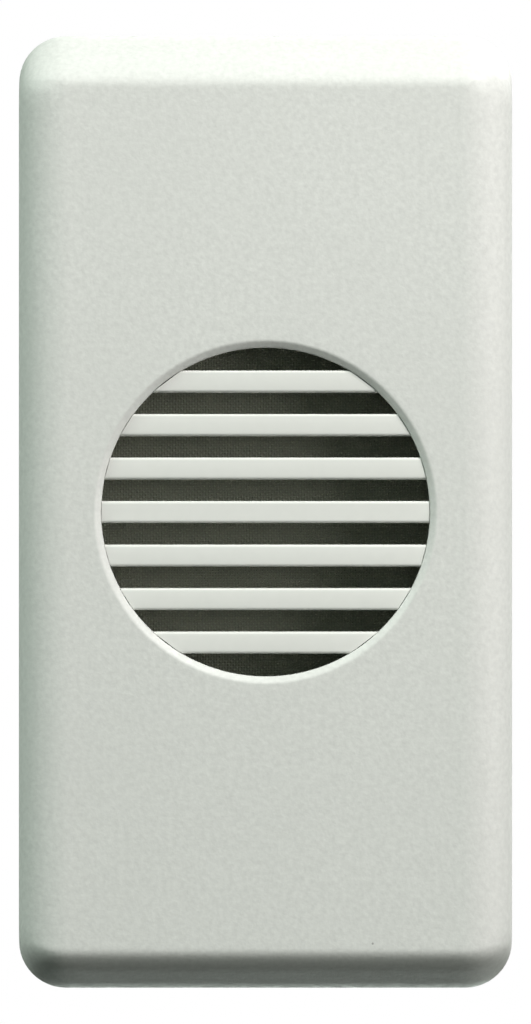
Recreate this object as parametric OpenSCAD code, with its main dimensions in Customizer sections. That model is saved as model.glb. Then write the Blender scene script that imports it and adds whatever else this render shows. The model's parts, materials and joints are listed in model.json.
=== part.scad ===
// One-module electromechanical doorbell insert.
// The face looks along -Y, +X is to the viewer's right and +Z is up.
// The origin is the middle of the plane where the flange seats on the wall frame.

/* [Face] */
// Width of the face
face_w = 23.3; // [22.6:0.1:26]
// Height of the face
face_h = 45; // [44.4:0.1:49]
// Radius of the face's corners, seen from the front
corner_r = 2.2; // [1.8:0.1:2.8]
// Depth of the cover in front of the flange
cover_depth = 7; // [6.6:0.1:9]
// Thickness of the cover's side walls
cover_wall = 1.4; // [1.1:0.1:1.6]
// Thickness of the cover's front
front_wall = 1.6; // [1.3:0.1:2]
// Height of the sloping band along the top
top_slope_h = 1.9; // [1.3:0.1:2]
// Height of the sloping band along the bottom
bottom_slope_h = 1.35; // [1.1:0.05:1.8]
// Depth of the sloping bands
slope_depth = 2.4; // [1.8:0.1:3]
// Radius of the long edges
edge_r = 1.8; // [1.3:0.1:2.2]

/* [Grille] */
// Diameter of the round opening
opening_d = 15.5; // [14.8:0.1:16]
// Width of the bevel round the opening
rim_bevel = 0.3; // [0.2:0.05:0.5]
// Depth of the bevel round the opening
rim_depth = 0.2; // [0.1:0.05:0.35]
// Distance of the bars behind the face
bar_recess = 0.25; // [0.2:0.05:0.45]
// Height of one bar
bar_h = 1.05; // [0.8:0.05:1.2]
// Distance from bar to bar
bar_pitch = 2.05; // [1.9:0.05:2.15]
// Number of bars
bar_count = 7; // [3:2:7]
// Width of the ring that carries the bars
ring_w = 1.3; // [1.1:0.1:1.5]
// Thickness of the ring
ring_t = 0.8; // [0.6:0.1:1]
// Depth of the skirt that holds the screen off the bars
skirt_depth = 1; // [0.8:0.1:1.3]
// Thickness of the skirt
skirt_t = 0.8; // [0.6:0.1:1]
// Thickness of the dust screen
screen_t = 0.3; // [0.2:0.05:0.5]
// Thickness of the collar that the ring presses into
collar_t = 0.8; // [0.6:0.1:1]
// Depth of the collar past the ring
collar_lap = 0.6; // [0.4:0.1:0.9]

/* [Housing] */
// Thickness of the flange
flange_t = 2; // [1.6:0.1:2.6]
// Overhang of the flange at each side of the body
side_ledge = 0.75; // [0.6:0.05:0.9]
// Overhang of the flange at the top and the bottom of the body
end_ledge = 1.3; // [1.1:0.05:1.6]
// Depth of the body behind the flange
body_depth = 28; // [27.6:0.2:34]
// Thickness of the body's walls
body_wall = 1.4; // [1.1:0.1:1.6]
// Thickness of the body's back
back_wall = 1.6; // [1.4:0.1:2]
// Radius of the body's corners
body_r = 1.8; // [1.7:0.1:2.4]
// Height of the lip that enters the cover
lip_h = 1.4; // [1:0.1:1.8]
// Thickness of the lip
lip_t = 0.9; // [0.7:0.1:1.1]
// Thickness of the wall frame that the snap lugs hold
frame_t = 4; // [3:0.1:5]
// Width of a snap lug
lug_w = 8; // [5:0.5:12]
// Height of a snap lug
lug_h = 1; // [0.7:0.05:1.05]
// Length of the flat top of a snap lug
lug_flat = 0.8; // [0.4:0.1:1.5]
// Length of a snap lug with its ramp
lug_len = 5; // [3:0.1:7]
// Height of the guide ribs on the sides
rib_h = 0.35; // [0.2:0.05:0.5]
// Width of a guide rib
rib_w = 2; // [1.2:0.1:3]
// Length of a guide rib
rib_len = 16; // [8:0.5:22]
// Distance between the guide ribs of one side
rib_pitch = 24; // [14:0.5:30]

/* [Cover pegs] */
// Diameter of a peg
peg_d = 2; // [1.6:0.1:2.2]
// Length of a peg in its socket
peg_len = 5; // [4:0.1:6]
// Diameter of the pillar that carries a peg
pillar_d = 3.2; // [2.8:0.1:3.4]
// Wall of a peg socket
socket_wall = 1.25; // [1.1:0.05:1.4]
// Floor below a peg's tip
socket_floor = 1; // [0.6:0.1:1.6]
// Distance of the pegs from the body's ends
peg_end = 2.2; // [2:0.1:3]

/* [Magnet] */
// Diameter of the core
core_d = 6; // [5:0.1:6.4]
// Diameter of the core's riveted tail
core_tail_d = 4; // [3:0.1:4.5]
// Diameter of the rivet head under the yoke
core_rivet_d = 5.4; // [5:0.1:6]
// Height of the rivet head
core_rivet_h = 0.8; // [0.5:0.1:1]
// Height of the core above the bobbin
pole_stand = 0.8; // [0.5:0.1:1.2]
// Gap between the pole and the resting armature
pole_gap = 1.4; // [1.2:0.1:2]
// Diameter of the bobbin's flanges
bobbin_d = 14; // [13:0.1:14.6]
// Length of the bobbin
bobbin_len = 16.4; // [14:0.1:17]
// Thickness of a bobbin flange
bobbin_flange = 1; // [0.8:0.1:1.3]
// Wall of the bobbin's tube
bobbin_tube = 0.7; // [0.5:0.05:0.9]
// Depth of the taped winding below the flange's edge
winding_drop = 0.8; // [0.5:0.1:1.4]
// Thickness of the tape
tape_t = 0.3; // [0.15:0.05:0.5]
// Thickness of the yoke's strap
strap_t = 1.6; // [1.4:0.1:2]
// Width of the yoke's strap
strap_w = 9; // [8.4:0.1:9.4]
// Inner radius of the strap's bends
bend_r = 0.6; // [0.4:0.1:1]
// Height of the front leg above the gong's post
front_leg_rise = 3; // [2.6:0.1:4]
// Diameter of a coil lead
lead_d = 1.2; // [0.9:0.1:1.3]

/* [Armature] */
// Thickness of the armature
arm_t = 1.6; // [1.4:0.1:2]
// Reach of the armature past the core
arm_reach = 1; // [0.6:0.1:2]
// Thickness of an ear of the yoke
ear_t = 1.2; // [1:0.1:1.4]
// Radius of the ears about the pin
ear_r = 2; // [1.8:0.1:2.2]
// Length of the ear's root along the back leg
ear_root = 1.5; // [1:0.1:1.8]
// Diameter of the pivot pin
pin_d = 1.6; // [1.3:0.1:1.8]
// Length of the pin outside each ear
pin_stand = 0.5; // [0.3:0.1:0.8]
// Wall of the armature's knuckle
knuckle_wall = 1.05; // [0.9:0.05:1.2]
// Width of the armature's tail
tail_w = 3; // [2.4:0.1:3.6]
// Length of the tail past the spring
tail_end = 1.4; // [1.1:0.1:2]

/* [Hammer] */
// Thickness of the blade
blade_t = 0.4; // [0.3:0.05:0.5]
// Width of the blade
blade_w = 3; // [2.6:0.1:3.6]
// Length of the blade on the armature
blade_lap = 6; // [5:0.1:7]
// Length of the blade past the middle of the head
blade_tip = 2.2; // [1.4:0.1:2.6]
// Diameter of a blade rivet
rivet_d = 1.2; // [1:0.1:1.4]
// Diameter of a rivet's head
rivet_head_d = 2.2; // [2:0.1:2.5]
// Height of a rivet's head
rivet_head_h = 0.5; // [0.3:0.1:0.7]
// Distance between the blade rivets
rivet_pitch = 3; // [2.6:0.1:3.4]
// Diameter of the hammer head
head_d = 3.6; // [3:0.1:4]
// Length of the hammer head below the blade
head_len = 1.8; // [1.6:0.1:2.4]
// Drop of the hammer from rest to the gong
hammer_gap = 1.8; // [1.4:0.1:2.2]
// Gap left above the gong at the end of the stroke
strike_gap = 0.1; // [0.05:0.05:0.2]
// Diameter of the head's spigot in the blade
spigot_d = 1.4; // [1:0.1:1.6]
// Height of the spigot's upset end above the blade
spigot_h = 0.4; // [0.2:0.1:0.6]

/* [Return spring] */
// Distance from the tail to the spring's tab
spring_len = 9; // [8:0.1:10]
// Mean radius of the spring
spring_r = 1.2; // [0.9:0.1:1.4]
// Thickness of the spring's wire
wire_d = 0.4; // [0.3:0.05:0.5]
// Number of turns
spring_turns = 7; // [5:1:8]
// Length of the straight ends
spring_end = 0.6; // [0.5:0.1:1]
// Distance of the spring behind the yoke
spring_back = 2.2; // [2:0.1:2.6]
// Thickness of the spring's tab
tab_t = 1.2; // [1:0.1:1.4]
// Width of the spring's tab
tab_w = 3; // [2.4:0.1:4]

/* [Bumper] */
// Diameter of the rubber bumper
bumper_d = 4; // [3.4:0.1:4.6]
// Thickness of the bumper's pad
bumper_t = 1.4; // [1:0.1:2]
// Diameter of the bumper's stem
stem_d = 2; // [1.6:0.1:2.4]
// Length of the bumper's stem
stem_len = 3; // [2:0.1:4]
// Wall of the post round the stem
post_wall = 1.5; // [1:0.1:1.8]
// Distance of the bumper in front of the armature
bumper_reach = 2.2; // [2:0.1:2.6]

/* [Gong] */
// Diameter of the gong
gong_d = 17.2; // [16:0.1:17.8]
// Depth of the gong
gong_depth = 4; // [3.6:0.1:4.6]
// Thickness of the gong
gong_t = 0.8; // [0.6:0.05:1]
// Radius of the flat crown
crown_r = 2.8; // [2.6:0.1:3.4]
// Distance of the strike line from the gong's rim
strike_line = 0.6; // [0.4:0.1:1]
// Diameter of the gong's post
post_d = 5; // [4.4:0.1:5.2]
// Diameter of the post's riveted tail
post_tail_d = 3; // [2.4:0.1:3.6]
// Diameter of the post's upset end behind the front leg
post_rivet_d = 4.2; // [3.8:0.1:4.8]
// Height of the post's upset end
post_rivet_h = 0.4; // [0.3:0.05:0.5]
// Diameter of the gong's screw
gong_screw_d = 2.5; // [2:0.1:3]
// Diameter of the gong screw's head
gong_head_d = 4.4; // [4:0.1:5]
// Height of the gong screw's head
gong_head_h = 1.2; // [1:0.1:1.5]
// Length of the gong screw in the post
gong_screw_len = 3; // [2.4:0.1:3.4]
// Diameter of the gong's washers
washer_d = 5; // [4.6:0.1:5.4]
// Thickness of a gong washer
washer_t = 0.4; // [0.3:0.05:0.6]

/* [Yoke screws] */
// Diameter of a yoke screw
yoke_screw_d = 2.5; // [2:0.1:2.7]
// Diameter of its head
yoke_head_d = 4.4; // [4:0.1:4.6]
// Height of its head
yoke_head_h = 1.2; // [1:0.05:1.3]
// Distance between the yoke screws
yoke_screw_pitch = 4.8; // [4.6:0.1:5]
// Diameter of the standoff round a yoke screw
standoff_d = 4.4; // [4.2:0.1:4.6]
// Height of the yoke screws below the face's middle
yoke_screw_drop = 3.2; // [3:0.1:4]

/* [Terminals] */
// Distance of each terminal from the middle
term_x = 5; // [4.6:0.1:5.4]
// Diameter of a terminal screw
term_screw_d = 3.5; // [3:0.1:3.6]
// Rise of the cage for one turn of the screw
term_pitch = 0.6; // [0.5:0.05:0.7]
// Turns of a terminal screw from open to shut
term_turns = 3; // [2:1:3]
// Diameter of a terminal screw's head
term_head_d = 5.4; // [5:0.1:5.8]
// Height of a terminal screw's head
term_head_h = 1.8; // [1.6:0.1:2.2]
// Diameter of the driver's hole in the back
driver_d = 4.4; // [4:0.1:4.6]
// Wall of a clamp cage at the jaw and at the thread
cage_wall = 1.2; // [1:0.1:1.4]
// Wall of a clamp cage at its sides
cage_side = 0.9; // [0.7:0.1:1.1]
// Length of a clamp cage along the wire
cage_h = 5; // [4:0.1:5.2]
// Thickness of a contact bar
bar_t = 1.2; // [1:0.1:1.4]
// Width of a contact bar
bar_w = 4; // [3.6:0.1:4.2]
// Width of a contact bar's tag
tag_w = 2; // [1.6:0.1:2.4]
// Height of the tag above the shelf
tag_rise = 0.6; // [0.4:0.1:0.8]
// Opening of an open clamp
wire_room = 3; // [2.8:0.1:3.2]
// Diameter of a wire entry
entry_d = 2.8; // [2.4:0.1:3]
// Width of the funnel at a wire entry
entry_funnel = 0.5; // [0.3:0.05:0.7]
// Height of the collar inside a wire entry
entry_collar = 0.7; // [0.4:0.1:0.8]
// Wall of the collar inside a wire entry
entry_wall = 0.9; // [0.7:0.1:1.1]
// Thickness of the shelf over the terminals
shelf_t = 1; // [0.8:0.1:1.3]
// Thickness of the partition between the terminals
partition_t = 1.4; // [1:0.1:1.8]

/* [Fits] */
// Clearance of turning and rising pieces
run_fit = 0.05; // [0.03:0.01:0.08]
// Clearance of pushed-in pieces
push_fit = 0.05; // [0.03:0.01:0.08]
// Clearance between mouldings that slip past each other
slip_fit = 0.1; // [0.05:0.01:0.15]
// Room between the coil and the yoke's legs
coil_room = 0.8; // [0.6:0.1:1]
// Room behind the gong's rim
gong_room = 1.2; // [0.9:0.1:1.6]
// Room behind the armature's tail
tail_room = 2; // [1.6:0.1:3]
// Room in front of the gong's screw
screw_room = 0.5; // [0.3:0.1:0.8]
// Room at the sides of the armature
side_room = 0.2; // [0.1:0.05:0.3]
// Room round a piece that moves
move_room = 0.4; // [0.3:0.05:0.5]

/* [Hidden] */
$fn = 64;

// Overlap that joins two features of one piece, and overshoot of a cut
bite = 0.2;
over = 1;
// Slot in a screw's head: its width and its share of the head's height
slot_w = 0.7;
slot_share = 0.5;

// Colours
cover_grey = "#d2d6cf";
grille_grey = "#dcdfd8";
cloth_grey = "#3a3d35";
housing_grey = "#4a4e50";
steel = "#9a9da0";
iron = "#7d8185";
nylon = "#e8e4d6";
copper = "#b06a35";
tape_yellow = "#d8b23a";
lead_red = "#9c3226";
lead_blue = "#2f5588";
rubber = "#232323";
bronze = "#b58a3c";
brass = "#c9a44a";
fibre = "#8a4a30";

// Depths of the cover and the grille
cover_back = -flange_t;
face_y = cover_back - cover_depth;
front_inner = face_y + front_wall;
bar_y = face_y + bar_recess;
ring_back = front_inner + ring_t;
skirt_back = ring_back + skirt_depth;
screen_back = skirt_back + screen_t;
opening_r = opening_d / 2;
mouth_r = opening_r + rim_bevel * (1 + over / rim_depth);
ring_in = opening_r + slip_fit;
ring_out = opening_r + ring_w;
inner_w = face_w - 2 * cover_wall;
inner_h = face_h - 2 * cover_wall;
inner_corner = max(corner_r - cover_wall, bite);
inner_edge = max(edge_r - cover_wall, bite);

// Body of the housing
body_w = face_w - 2 * side_ledge;
body_h = face_h - 2 * end_ledge;
room_w = body_w - 2 * body_wall;
room_h = body_h - 2 * body_wall;
room_r = max(body_r - body_wall, bite);
back_inner = body_depth - back_wall;
lip_w = inner_w - 2 * slip_fit;
lip_z = inner_h - 2 * slip_fit;
lip_r = max(inner_corner - slip_fit, bite);

// Pegs of the cover and their sockets
socket_r = peg_d / 2 + push_fit + socket_wall;
peg_x = room_w / 2 + bite - socket_r;
peg_z = room_h / 2 - peg_end;
peg_tip = cover_back + peg_len;
socket_back = peg_tip + slip_fit + socket_floor;

// Depths of the gong and the magnet, which share the spare depth in front of them and behind them
crown_y = screen_back + screw_room + gong_head_h + washer_t;
gong_rim = crown_y + gong_depth;
gong_r = gong_d / 2;
gong_in_r = gong_r - gong_t;
post_front = crown_y + gong_t + washer_t;
magnet_depth = 2 * (strap_t + coil_room) + bobbin_d + spring_back + tail_end;
spare_depth = back_inner - gong_rim - magnet_depth;
leg_front = gong_rim + spare_depth * gong_room / (gong_room + tail_room);
coil_front = leg_front + strap_t + coil_room;
coil_y = coil_front + bobbin_d / 2;
leg_back = coil_front + bobbin_d + coil_room;
yoke_back = leg_back + strap_t;
strike_y = gong_rim - strike_line;

// Heights of the hammer, the armature and the magnet
blade_z = gong_r + hammer_gap + head_len;
blade_top = blade_z + blade_t;
arm_low = blade_z - arm_t;
pole_z = arm_low - pole_gap;
bobbin_top = pole_z - pole_stand;
bobbin_low = bobbin_top - bobbin_len;
yoke_low = bobbin_low - strap_t;
pivot_y = leg_back + strap_t / 2;
pivot_z = arm_low + arm_t / 2;
pin_r = pin_d / 2;
knuckle_r = pin_r + run_fit + knuckle_wall;
leg_top = pivot_z - knuckle_r - move_room;
ear_in = strap_w / 2 - ear_t;
arm_w = 2 * (ear_in - side_room);
arm_front = coil_y - core_d / 2 - arm_reach;
blade_back = arm_front + blade_lap;
rivet_mid = arm_front + blade_lap / 2;
bumper_y = arm_front - bumper_reach;
post_low = blade_top + bumper_t;

// Radii of the coil
core_hole_r = core_d / 2 + slip_fit;
tube_r = core_hole_r + bobbin_tube;
tape_r = bobbin_d / 2 - winding_drop;
winding_r = tape_r - tape_t;
winding_low = bobbin_low + bobbin_flange;
winding_top = bobbin_top - bobbin_flange;
lead_x = strap_w / 2 + side_room + lead_d / 2;

// Spring between the tail and its tab
spring_y = yoke_back + spring_back;
tail_back = spring_y + tail_end;
tab_top = arm_low - spring_len;
tab_back = spring_y + tail_end;
wire_r = wire_d / 2;
hook_hole_r = wire_r + slip_fit;
hook_z = arm_low + arm_t + slip_fit + wire_r;

// Terminals, from the back wall forwards
term_travel = term_pitch * term_turns;
head_back = back_inner - move_room;
head_front = head_back - term_head_h;
cage_back = head_front - move_room - term_travel;
bar_back = cage_back - cage_wall - move_room;
bar_front = bar_back - bar_t;
jaw_back = bar_front - wire_room;
cage_front = jaw_back - cage_wall;
wire_y = (jaw_back + bar_front) / 2;
cage_in_w = bar_w + 2 * slip_fit;
cage_w = cage_in_w + 2 * cage_side;
shelf_top = yoke_low - core_rivet_h - move_room;
shelf_low = shelf_top - shelf_t;
floor_z = -room_h / 2;
term_z = (shelf_low + floor_z + entry_collar) / 2;
tag_top = shelf_top + tag_rise;
tag_x = term_x + bar_w / 2 - tag_w / 2;
shelf_front = cage_front - move_room;
entry_r = entry_d / 2;

// Angle at which the hammer reaches the gong
strike_angle = asin((hammer_gap - strike_gap) / (pivot_y - strike_y));
echo(str("hammer stroke ", strike_angle, " degrees"));

// Straight solids along each axis
module along_x(x0, x1) {
    translate([x0, 0, 0])
        rotate([90, 0, 90])
            linear_extrude(x1 - x0) children();
}

module along_y(y0, y1) {
    translate([0, y1, 0])
        rotate([90, 0, 0])
            linear_extrude(y1 - y0) children();
}

module rod_x(r, x0, x1, y, z) {
    translate([x0, y, z])
        rotate([0, 90, 0])
            cylinder(h = x1 - x0, r = r);
}

module cone_y(r0, r1, y0, y1, x = 0, z = 0) {
    translate([x, y0, z])
        rotate([-90, 0, 0])
            cylinder(h = y1 - y0, r1 = r0, r2 = r1);
}

module rod_y(r, y0, y1, x = 0, z = 0) {
    cone_y(r, r, y0, y1, x, z);
}

module rod_z(r, z0, z1, x, y) {
    translate([x, y, z0])
        cylinder(h = z1 - z0, r = r);
}

// A block between two corners
module block(low, high) {
    translate(low)
        cube(high - low);
}

module rounded_rect(w, h, r) {
    square([w - 2 * r, h], center = true);
    square([w, h - 2 * r], center = true);
    for (x = [-1, 1], y = [-1, 1])
        translate([x * (w / 2 - r), y * (h / 2 - r)])
            circle(r);
}

// A tube swept along a list of points
function unit(v) = v / norm(v);
function step_between(p, i) = p[min(i + 1, len(p) - 1)] - p[max(i - 1, 0)];
function tangents(p) = [for (i = [0:len(p) - 1]) unit(step_between(p, i))];
function square_to(u, t) = unit(u - (u * t) * t);
function carried(t, i, u) =
    i == len(t) ? [] : let (w = square_to(u, t[i])) concat([w], carried(t, i + 1, w));

module tube(path, r, sides) {
    t = tangents(path);
    u = carried(t, 0, [1, 0, 0]);
    last = (len(path) - 1) * sides;
    points = [
        for (i = [0:len(path) - 1], k = [0:sides - 1])
            let (a = 360 * k / sides)
            path[i] + r * (cos(a) * u[i] + sin(a) * cross(t[i], u[i]))
    ];
    walls = [
        for (i = [0:len(path) - 2], k = [0:sides - 1])
            let (a = i * sides + k, b = i * sides + (k + 1) % sides)
            each [[a, a + sides, b], [b, a + sides, b + sides]]
    ];
    caps = [for (k = [1:sides - 2]) each [[0, k, k + 1], [last, last + k + 1, last + k]]];
    polyhedron(points, concat(walls, caps));
}

// Outer form of the cover, also used smaller for its inside
module cover_form(w, h, r, edge, front, back) {
    intersection() {
        along_y(front, back)
            rounded_rect(w, h, r);
        along_x(-w, w)
            sloped_ends(h, front, back);
        translate([0, 0, -h])
            linear_extrude(2 * h)
                rounded_sides(w, edge, front, back);
    }
}

module sloped_ends(h, front, back) {
    end = h / 2;
    polygon([
        [front, bottom_slope_h - end],
        [front, end - top_slope_h],
        [front + 2 * slope_depth, end + top_slope_h],
        [back + over, end + top_slope_h],
        [back + over, -end - bottom_slope_h],
        [front + 2 * slope_depth, -end - bottom_slope_h]
    ]);
}

module rounded_sides(w, r, front, back) {
    translate([r - w / 2, front])
        square([w - 2 * r, back + over - front]);
    translate([-w / 2, front + r])
        square([w, back + over - front - r]);
    for (side = [-1, 1])
        translate([side * (w / 2 - r), front + r])
            circle(r);
}

module at_pegs() {
    for (x = [-peg_x, peg_x], z = [-peg_z, peg_z])
        translate([x, 0, z])
            children();
}

module front_cover() {
    color(cover_grey)
        difference() {
            union() {
                difference() {
                    cover_form(face_w, face_h, corner_r, edge_r, face_y, cover_back);
                    cover_form(inner_w, inner_h, inner_corner, inner_edge, front_inner, cover_back + over);
                }
                rod_y(ring_out + push_fit + collar_t, front_inner - bite, ring_back + collar_lap);
                at_pegs() rod_y(pillar_d / 2, front_inner - bite, cover_back);
                at_pegs() rod_y(peg_d / 2, front_inner - bite, peg_tip);
            }
            rod_y(opening_r, face_y - over, front_inner + over);
            cone_y(mouth_r, opening_r, face_y - over, face_y + rim_depth);
            rod_y(ring_out + push_fit, front_inner, ring_back + collar_lap + over);
        }
}

module grille_bars(r, y0, y1) {
    intersection() {
        rod_y(r, y0, y1);
        for (i = [0:bar_count - 1])
            translate([-r, y0, (i - (bar_count - 1) / 2) * bar_pitch - bar_h / 2])
                cube([2 * r, y1 - y0, bar_h]);
    }
}

module sound_grille() {
    color(grille_grey)
        union() {
            grille_bars(opening_r - push_fit, bar_y, ring_back);
            grille_bars(ring_in + bite, front_inner, ring_back);
            difference() {
                rod_y(ring_out, front_inner, skirt_back);
                rod_y(ring_in, front_inner - over, ring_back);
                rod_y(ring_out - skirt_t, ring_back - bite, skirt_back + over);
            }
        }
}

module dust_screen() {
    color(cloth_grey)
        rod_y(ring_out, skirt_back, screen_back);
}

module snap_lug(end) {
    top = end * body_h / 2;
    root = end * (body_h / 2 - bite);
    along_x(-lug_w / 2, lug_w / 2)
        polygon([
            [frame_t, root],
            [frame_t, top + end * lug_h],
            [frame_t + lug_flat, top + end * lug_h],
            [frame_t + lug_len, top],
            [frame_t + lug_len, root]
        ]);
}

module guide_ribs() {
    for (side = [-1, 1], z = [-rib_pitch / 2, rib_pitch / 2])
        translate([side * body_w / 2, rib_len / 2, z])
            cube([2 * rib_h, rib_len, rib_w], center = true);
}

module at_yoke_screws() {
    for (x = [-yoke_screw_pitch / 2, yoke_screw_pitch / 2])
        translate([x, 0, -yoke_screw_drop])
            children();
}

module terminal_walls() {
    half = room_w / 2 + bite;
    block([-half, shelf_front, shelf_low], [half, back_inner + bite, shelf_top]);
    block([-partition_t / 2, shelf_front, floor_z - bite], [partition_t / 2, back_inner + bite, shelf_top]);
    for (x = [-term_x, term_x])
        rod_z(entry_r + entry_wall, floor_z - bite, floor_z + entry_collar, x, wire_y);
}

module terminal_cuts(side) {
    x = side * term_x;
    bottom = -body_h / 2;
    rod_y(driver_d / 2, back_inner - over, body_depth + over, x, term_z);
    rod_z(entry_r, bottom - over, floor_z + entry_collar + over, x, wire_y);
    translate([x, wire_y, bottom - over])
        cylinder(h = entry_funnel + over, r1 = entry_r + entry_funnel + over, r2 = entry_r);
    block(
        [x - bar_w / 2 - slip_fit, bar_front - slip_fit, floor_z],
        [x + bar_w / 2 + slip_fit, bar_back + slip_fit, floor_z + over]
    );
    block(
        [side * tag_x - tag_w / 2 - slip_fit, shelf_front - over, shelf_low - over],
        [side * tag_x + tag_w / 2 + slip_fit, bar_back + slip_fit, shelf_top + over]
    );
}

module rear_housing() {
    color(housing_grey)
        difference() {
            union() {
                difference() {
                    union() {
                        along_y(-flange_t, 0) rounded_rect(face_w, face_h, corner_r);
                        along_y(-bite, body_depth) rounded_rect(body_w, body_h, body_r);
                        guide_ribs();
                    }
                    along_y(-flange_t - over, back_inner) rounded_rect(room_w, room_h, room_r);
                }
                along_y(-flange_t - lip_h, bite - flange_t)
                    difference() {
                        rounded_rect(lip_w, lip_z, lip_r);
                        square([lip_w - 2 * lip_t, lip_z - 2 * lip_t], center = true);
                    }
                for (end = [-1, 1])
                    snap_lug(end);
                at_pegs() rod_y(socket_r, -flange_t, socket_back);
                at_yoke_screws() rod_y(standoff_d / 2, yoke_back, back_inner + bite);
                rod_z(stem_d / 2 + push_fit + post_wall, post_low, room_h / 2 + bite, 0, bumper_y);
                terminal_walls();
            }
            at_pegs() rod_y(peg_d / 2 + push_fit, -flange_t - over, peg_tip + slip_fit);
            at_yoke_screws() rod_y(yoke_screw_d / 2 + slip_fit, yoke_back - over, body_depth + over);
            at_yoke_screws() rod_y(yoke_head_d / 2 + slip_fit, body_depth - yoke_head_h, body_depth + over);
            rod_z(stem_d / 2 + push_fit, post_low - over, post_low + stem_len + slip_fit, 0, bumper_y);
            for (side = [-1, 1])
                terminal_cuts(side);
        }
}

// The strap's outline from the side: a channel with two round bends
module strap_channel(y0, y1, z0, z1, r) {
    translate([y0 + r, z0])
        square([y1 - y0 - 2 * r, z1 - z0]);
    translate([y0, z0 + r])
        square([y1 - y0, z1 - z0 - r]);
    for (y = [y0 + r, y1 - r])
        translate([y, z0 + r])
            circle(r);
}

module yoke_ear(side) {
    x0 = side > 0 ? ear_in : -strap_w / 2;
    block([x0, pivot_y - ear_r, leg_top - ear_root], [x0 + ear_t, pivot_y + ear_r, pivot_z]);
    rod_x(ear_r, x0, x0 + ear_t, pivot_y, pivot_z);
}

module yoke() {
    color(steel)
        difference() {
            union() {
                along_x(-strap_w / 2, strap_w / 2)
                    difference() {
                        strap_channel(leg_front, yoke_back, yoke_low, leg_top, bend_r + strap_t);
                        strap_channel(leg_front + strap_t, leg_back, bobbin_low, leg_top + over, bend_r);
                        translate([leg_front - over, front_leg_rise])
                            square([strap_t + 2 * over, leg_top]);
                    }
                for (side = [-1, 1])
                    yoke_ear(side);
                block([-tab_w / 2, yoke_back - bite, tab_top - tab_t], [tab_w / 2, tab_back, tab_top]);
            }
            rod_x(pin_r, -strap_w, strap_w, pivot_y, pivot_z);
            rod_z(core_tail_d / 2, yoke_low - over, bobbin_low + over, 0, coil_y);
            rod_y(post_tail_d / 2, leg_front - over, leg_front + strap_t + over);
            at_yoke_screws() rod_y(yoke_screw_d / 2 + run_fit, leg_back - over, yoke_back + over);
        }
}

module core() {
    color(iron)
        union() {
            rod_z(core_d / 2, bobbin_low, pole_z, 0, coil_y);
            rod_z(core_tail_d / 2, yoke_low - bite, bobbin_low + bite, 0, coil_y);
            rod_z(core_rivet_d / 2, yoke_low - core_rivet_h, yoke_low, 0, coil_y);
        }
}

module bobbin() {
    color(nylon)
        difference() {
            union() {
                rod_z(tube_r, bobbin_low, bobbin_top, 0, coil_y);
                rod_z(bobbin_d / 2, bobbin_low, winding_low, 0, coil_y);
                rod_z(bobbin_d / 2, winding_top, bobbin_top, 0, coil_y);
            }
            rod_z(core_hole_r, bobbin_low - over, bobbin_top + over, 0, coil_y);
            for (side = [-1, 1])
                rod_z(lead_d / 2 + push_fit, bobbin_low - over, winding_low + bite, side * lead_x, coil_y);
        }
}

module ring_z(r_in, r_out, z0, z1) {
    difference() {
        rod_z(r_out, z0, z1, 0, coil_y);
        rod_z(r_in, z0 - over, z1 + over, 0, coil_y);
    }
}

module winding() {
    color(copper) ring_z(tube_r, winding_r, winding_low, winding_top);
}

module coil_tape() {
    color(tape_yellow) ring_z(winding_r, tape_r, winding_low, winding_top);
}

// A lead leaves the bobbin's flange downwards and comes down on its bar's tag
lead_sag = 2.6;
lead_drop = 1.8;
lead_rings = 14;
lead_sides = 8;
function bezier(p, t) =
    pow(1 - t, 3) * p[0] + 3 * t * pow(1 - t, 2) * p[1] + 3 * t * t * (1 - t) * p[2] + pow(t, 3) * p[3];
function lead_path(side) =
    let (
        from = [side * lead_x, coil_y, bobbin_low],
        to = [side * tag_x, (bar_front + bar_back) / 2, tag_top + lead_d / 2],
        curve = [from, from - [0, 0, lead_sag], to + [0, 0, lead_drop], to]
    )
    concat(
        [[side * lead_x, coil_y, winding_low]],
        [for (i = [0:lead_rings]) bezier(curve, i / lead_rings)],
        [to - [0, 0, lead_d / 2]]
    );

module lead_left() {
    color(lead_blue) tube(lead_path(-1), lead_d / 2, lead_sides);
}

module lead_right() {
    color(lead_red) tube(lead_path(1), lead_d / 2, lead_sides);
}

module pivot_pin() {
    color(steel)
        rod_x(pin_r, -strap_w / 2 - pin_stand, strap_w / 2 + pin_stand, pivot_y, pivot_z);
}

module armature() {
    color(iron)
        difference() {
            union() {
                block([-arm_w / 2, arm_front, arm_low], [arm_w / 2, pivot_y, blade_z]);
                rod_x(knuckle_r, -arm_w / 2, arm_w / 2, pivot_y, pivot_z);
                block([-tail_w / 2, pivot_y, arm_low], [tail_w / 2, tail_back, blade_z]);
            }
            rod_x(pin_r + run_fit, -strap_w, strap_w, pivot_y, pivot_z);
            rod_z(hook_hole_r, arm_low - over, blade_z + over, 0, spring_y);
            at_blade_rivets() rod_z(rivet_d / 2, arm_low - over, blade_z + over, 0, 0);
        }
}

module at_blade_rivets() {
    for (y = [rivet_mid - rivet_pitch / 2, rivet_mid + rivet_pitch / 2])
        translate([0, y, 0])
            children();
}

module hammer_blade() {
    color(steel)
        difference() {
            block([-blade_w / 2, strike_y - blade_tip, blade_z], [blade_w / 2, blade_back, blade_top]);
            at_blade_rivets() rod_z(rivet_d / 2, blade_z - over, blade_top + over, 0, 0);
            rod_z(spigot_d / 2, blade_z - over, blade_top + over, 0, strike_y);
        }
}

module blade_rivets() {
    color(brass)
        at_blade_rivets() {
            rod_z(rivet_d / 2, arm_low, blade_top + bite, 0, 0);
            rod_z(rivet_head_d / 2, blade_top, blade_top + rivet_head_h, 0, 0);
        }
}

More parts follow.
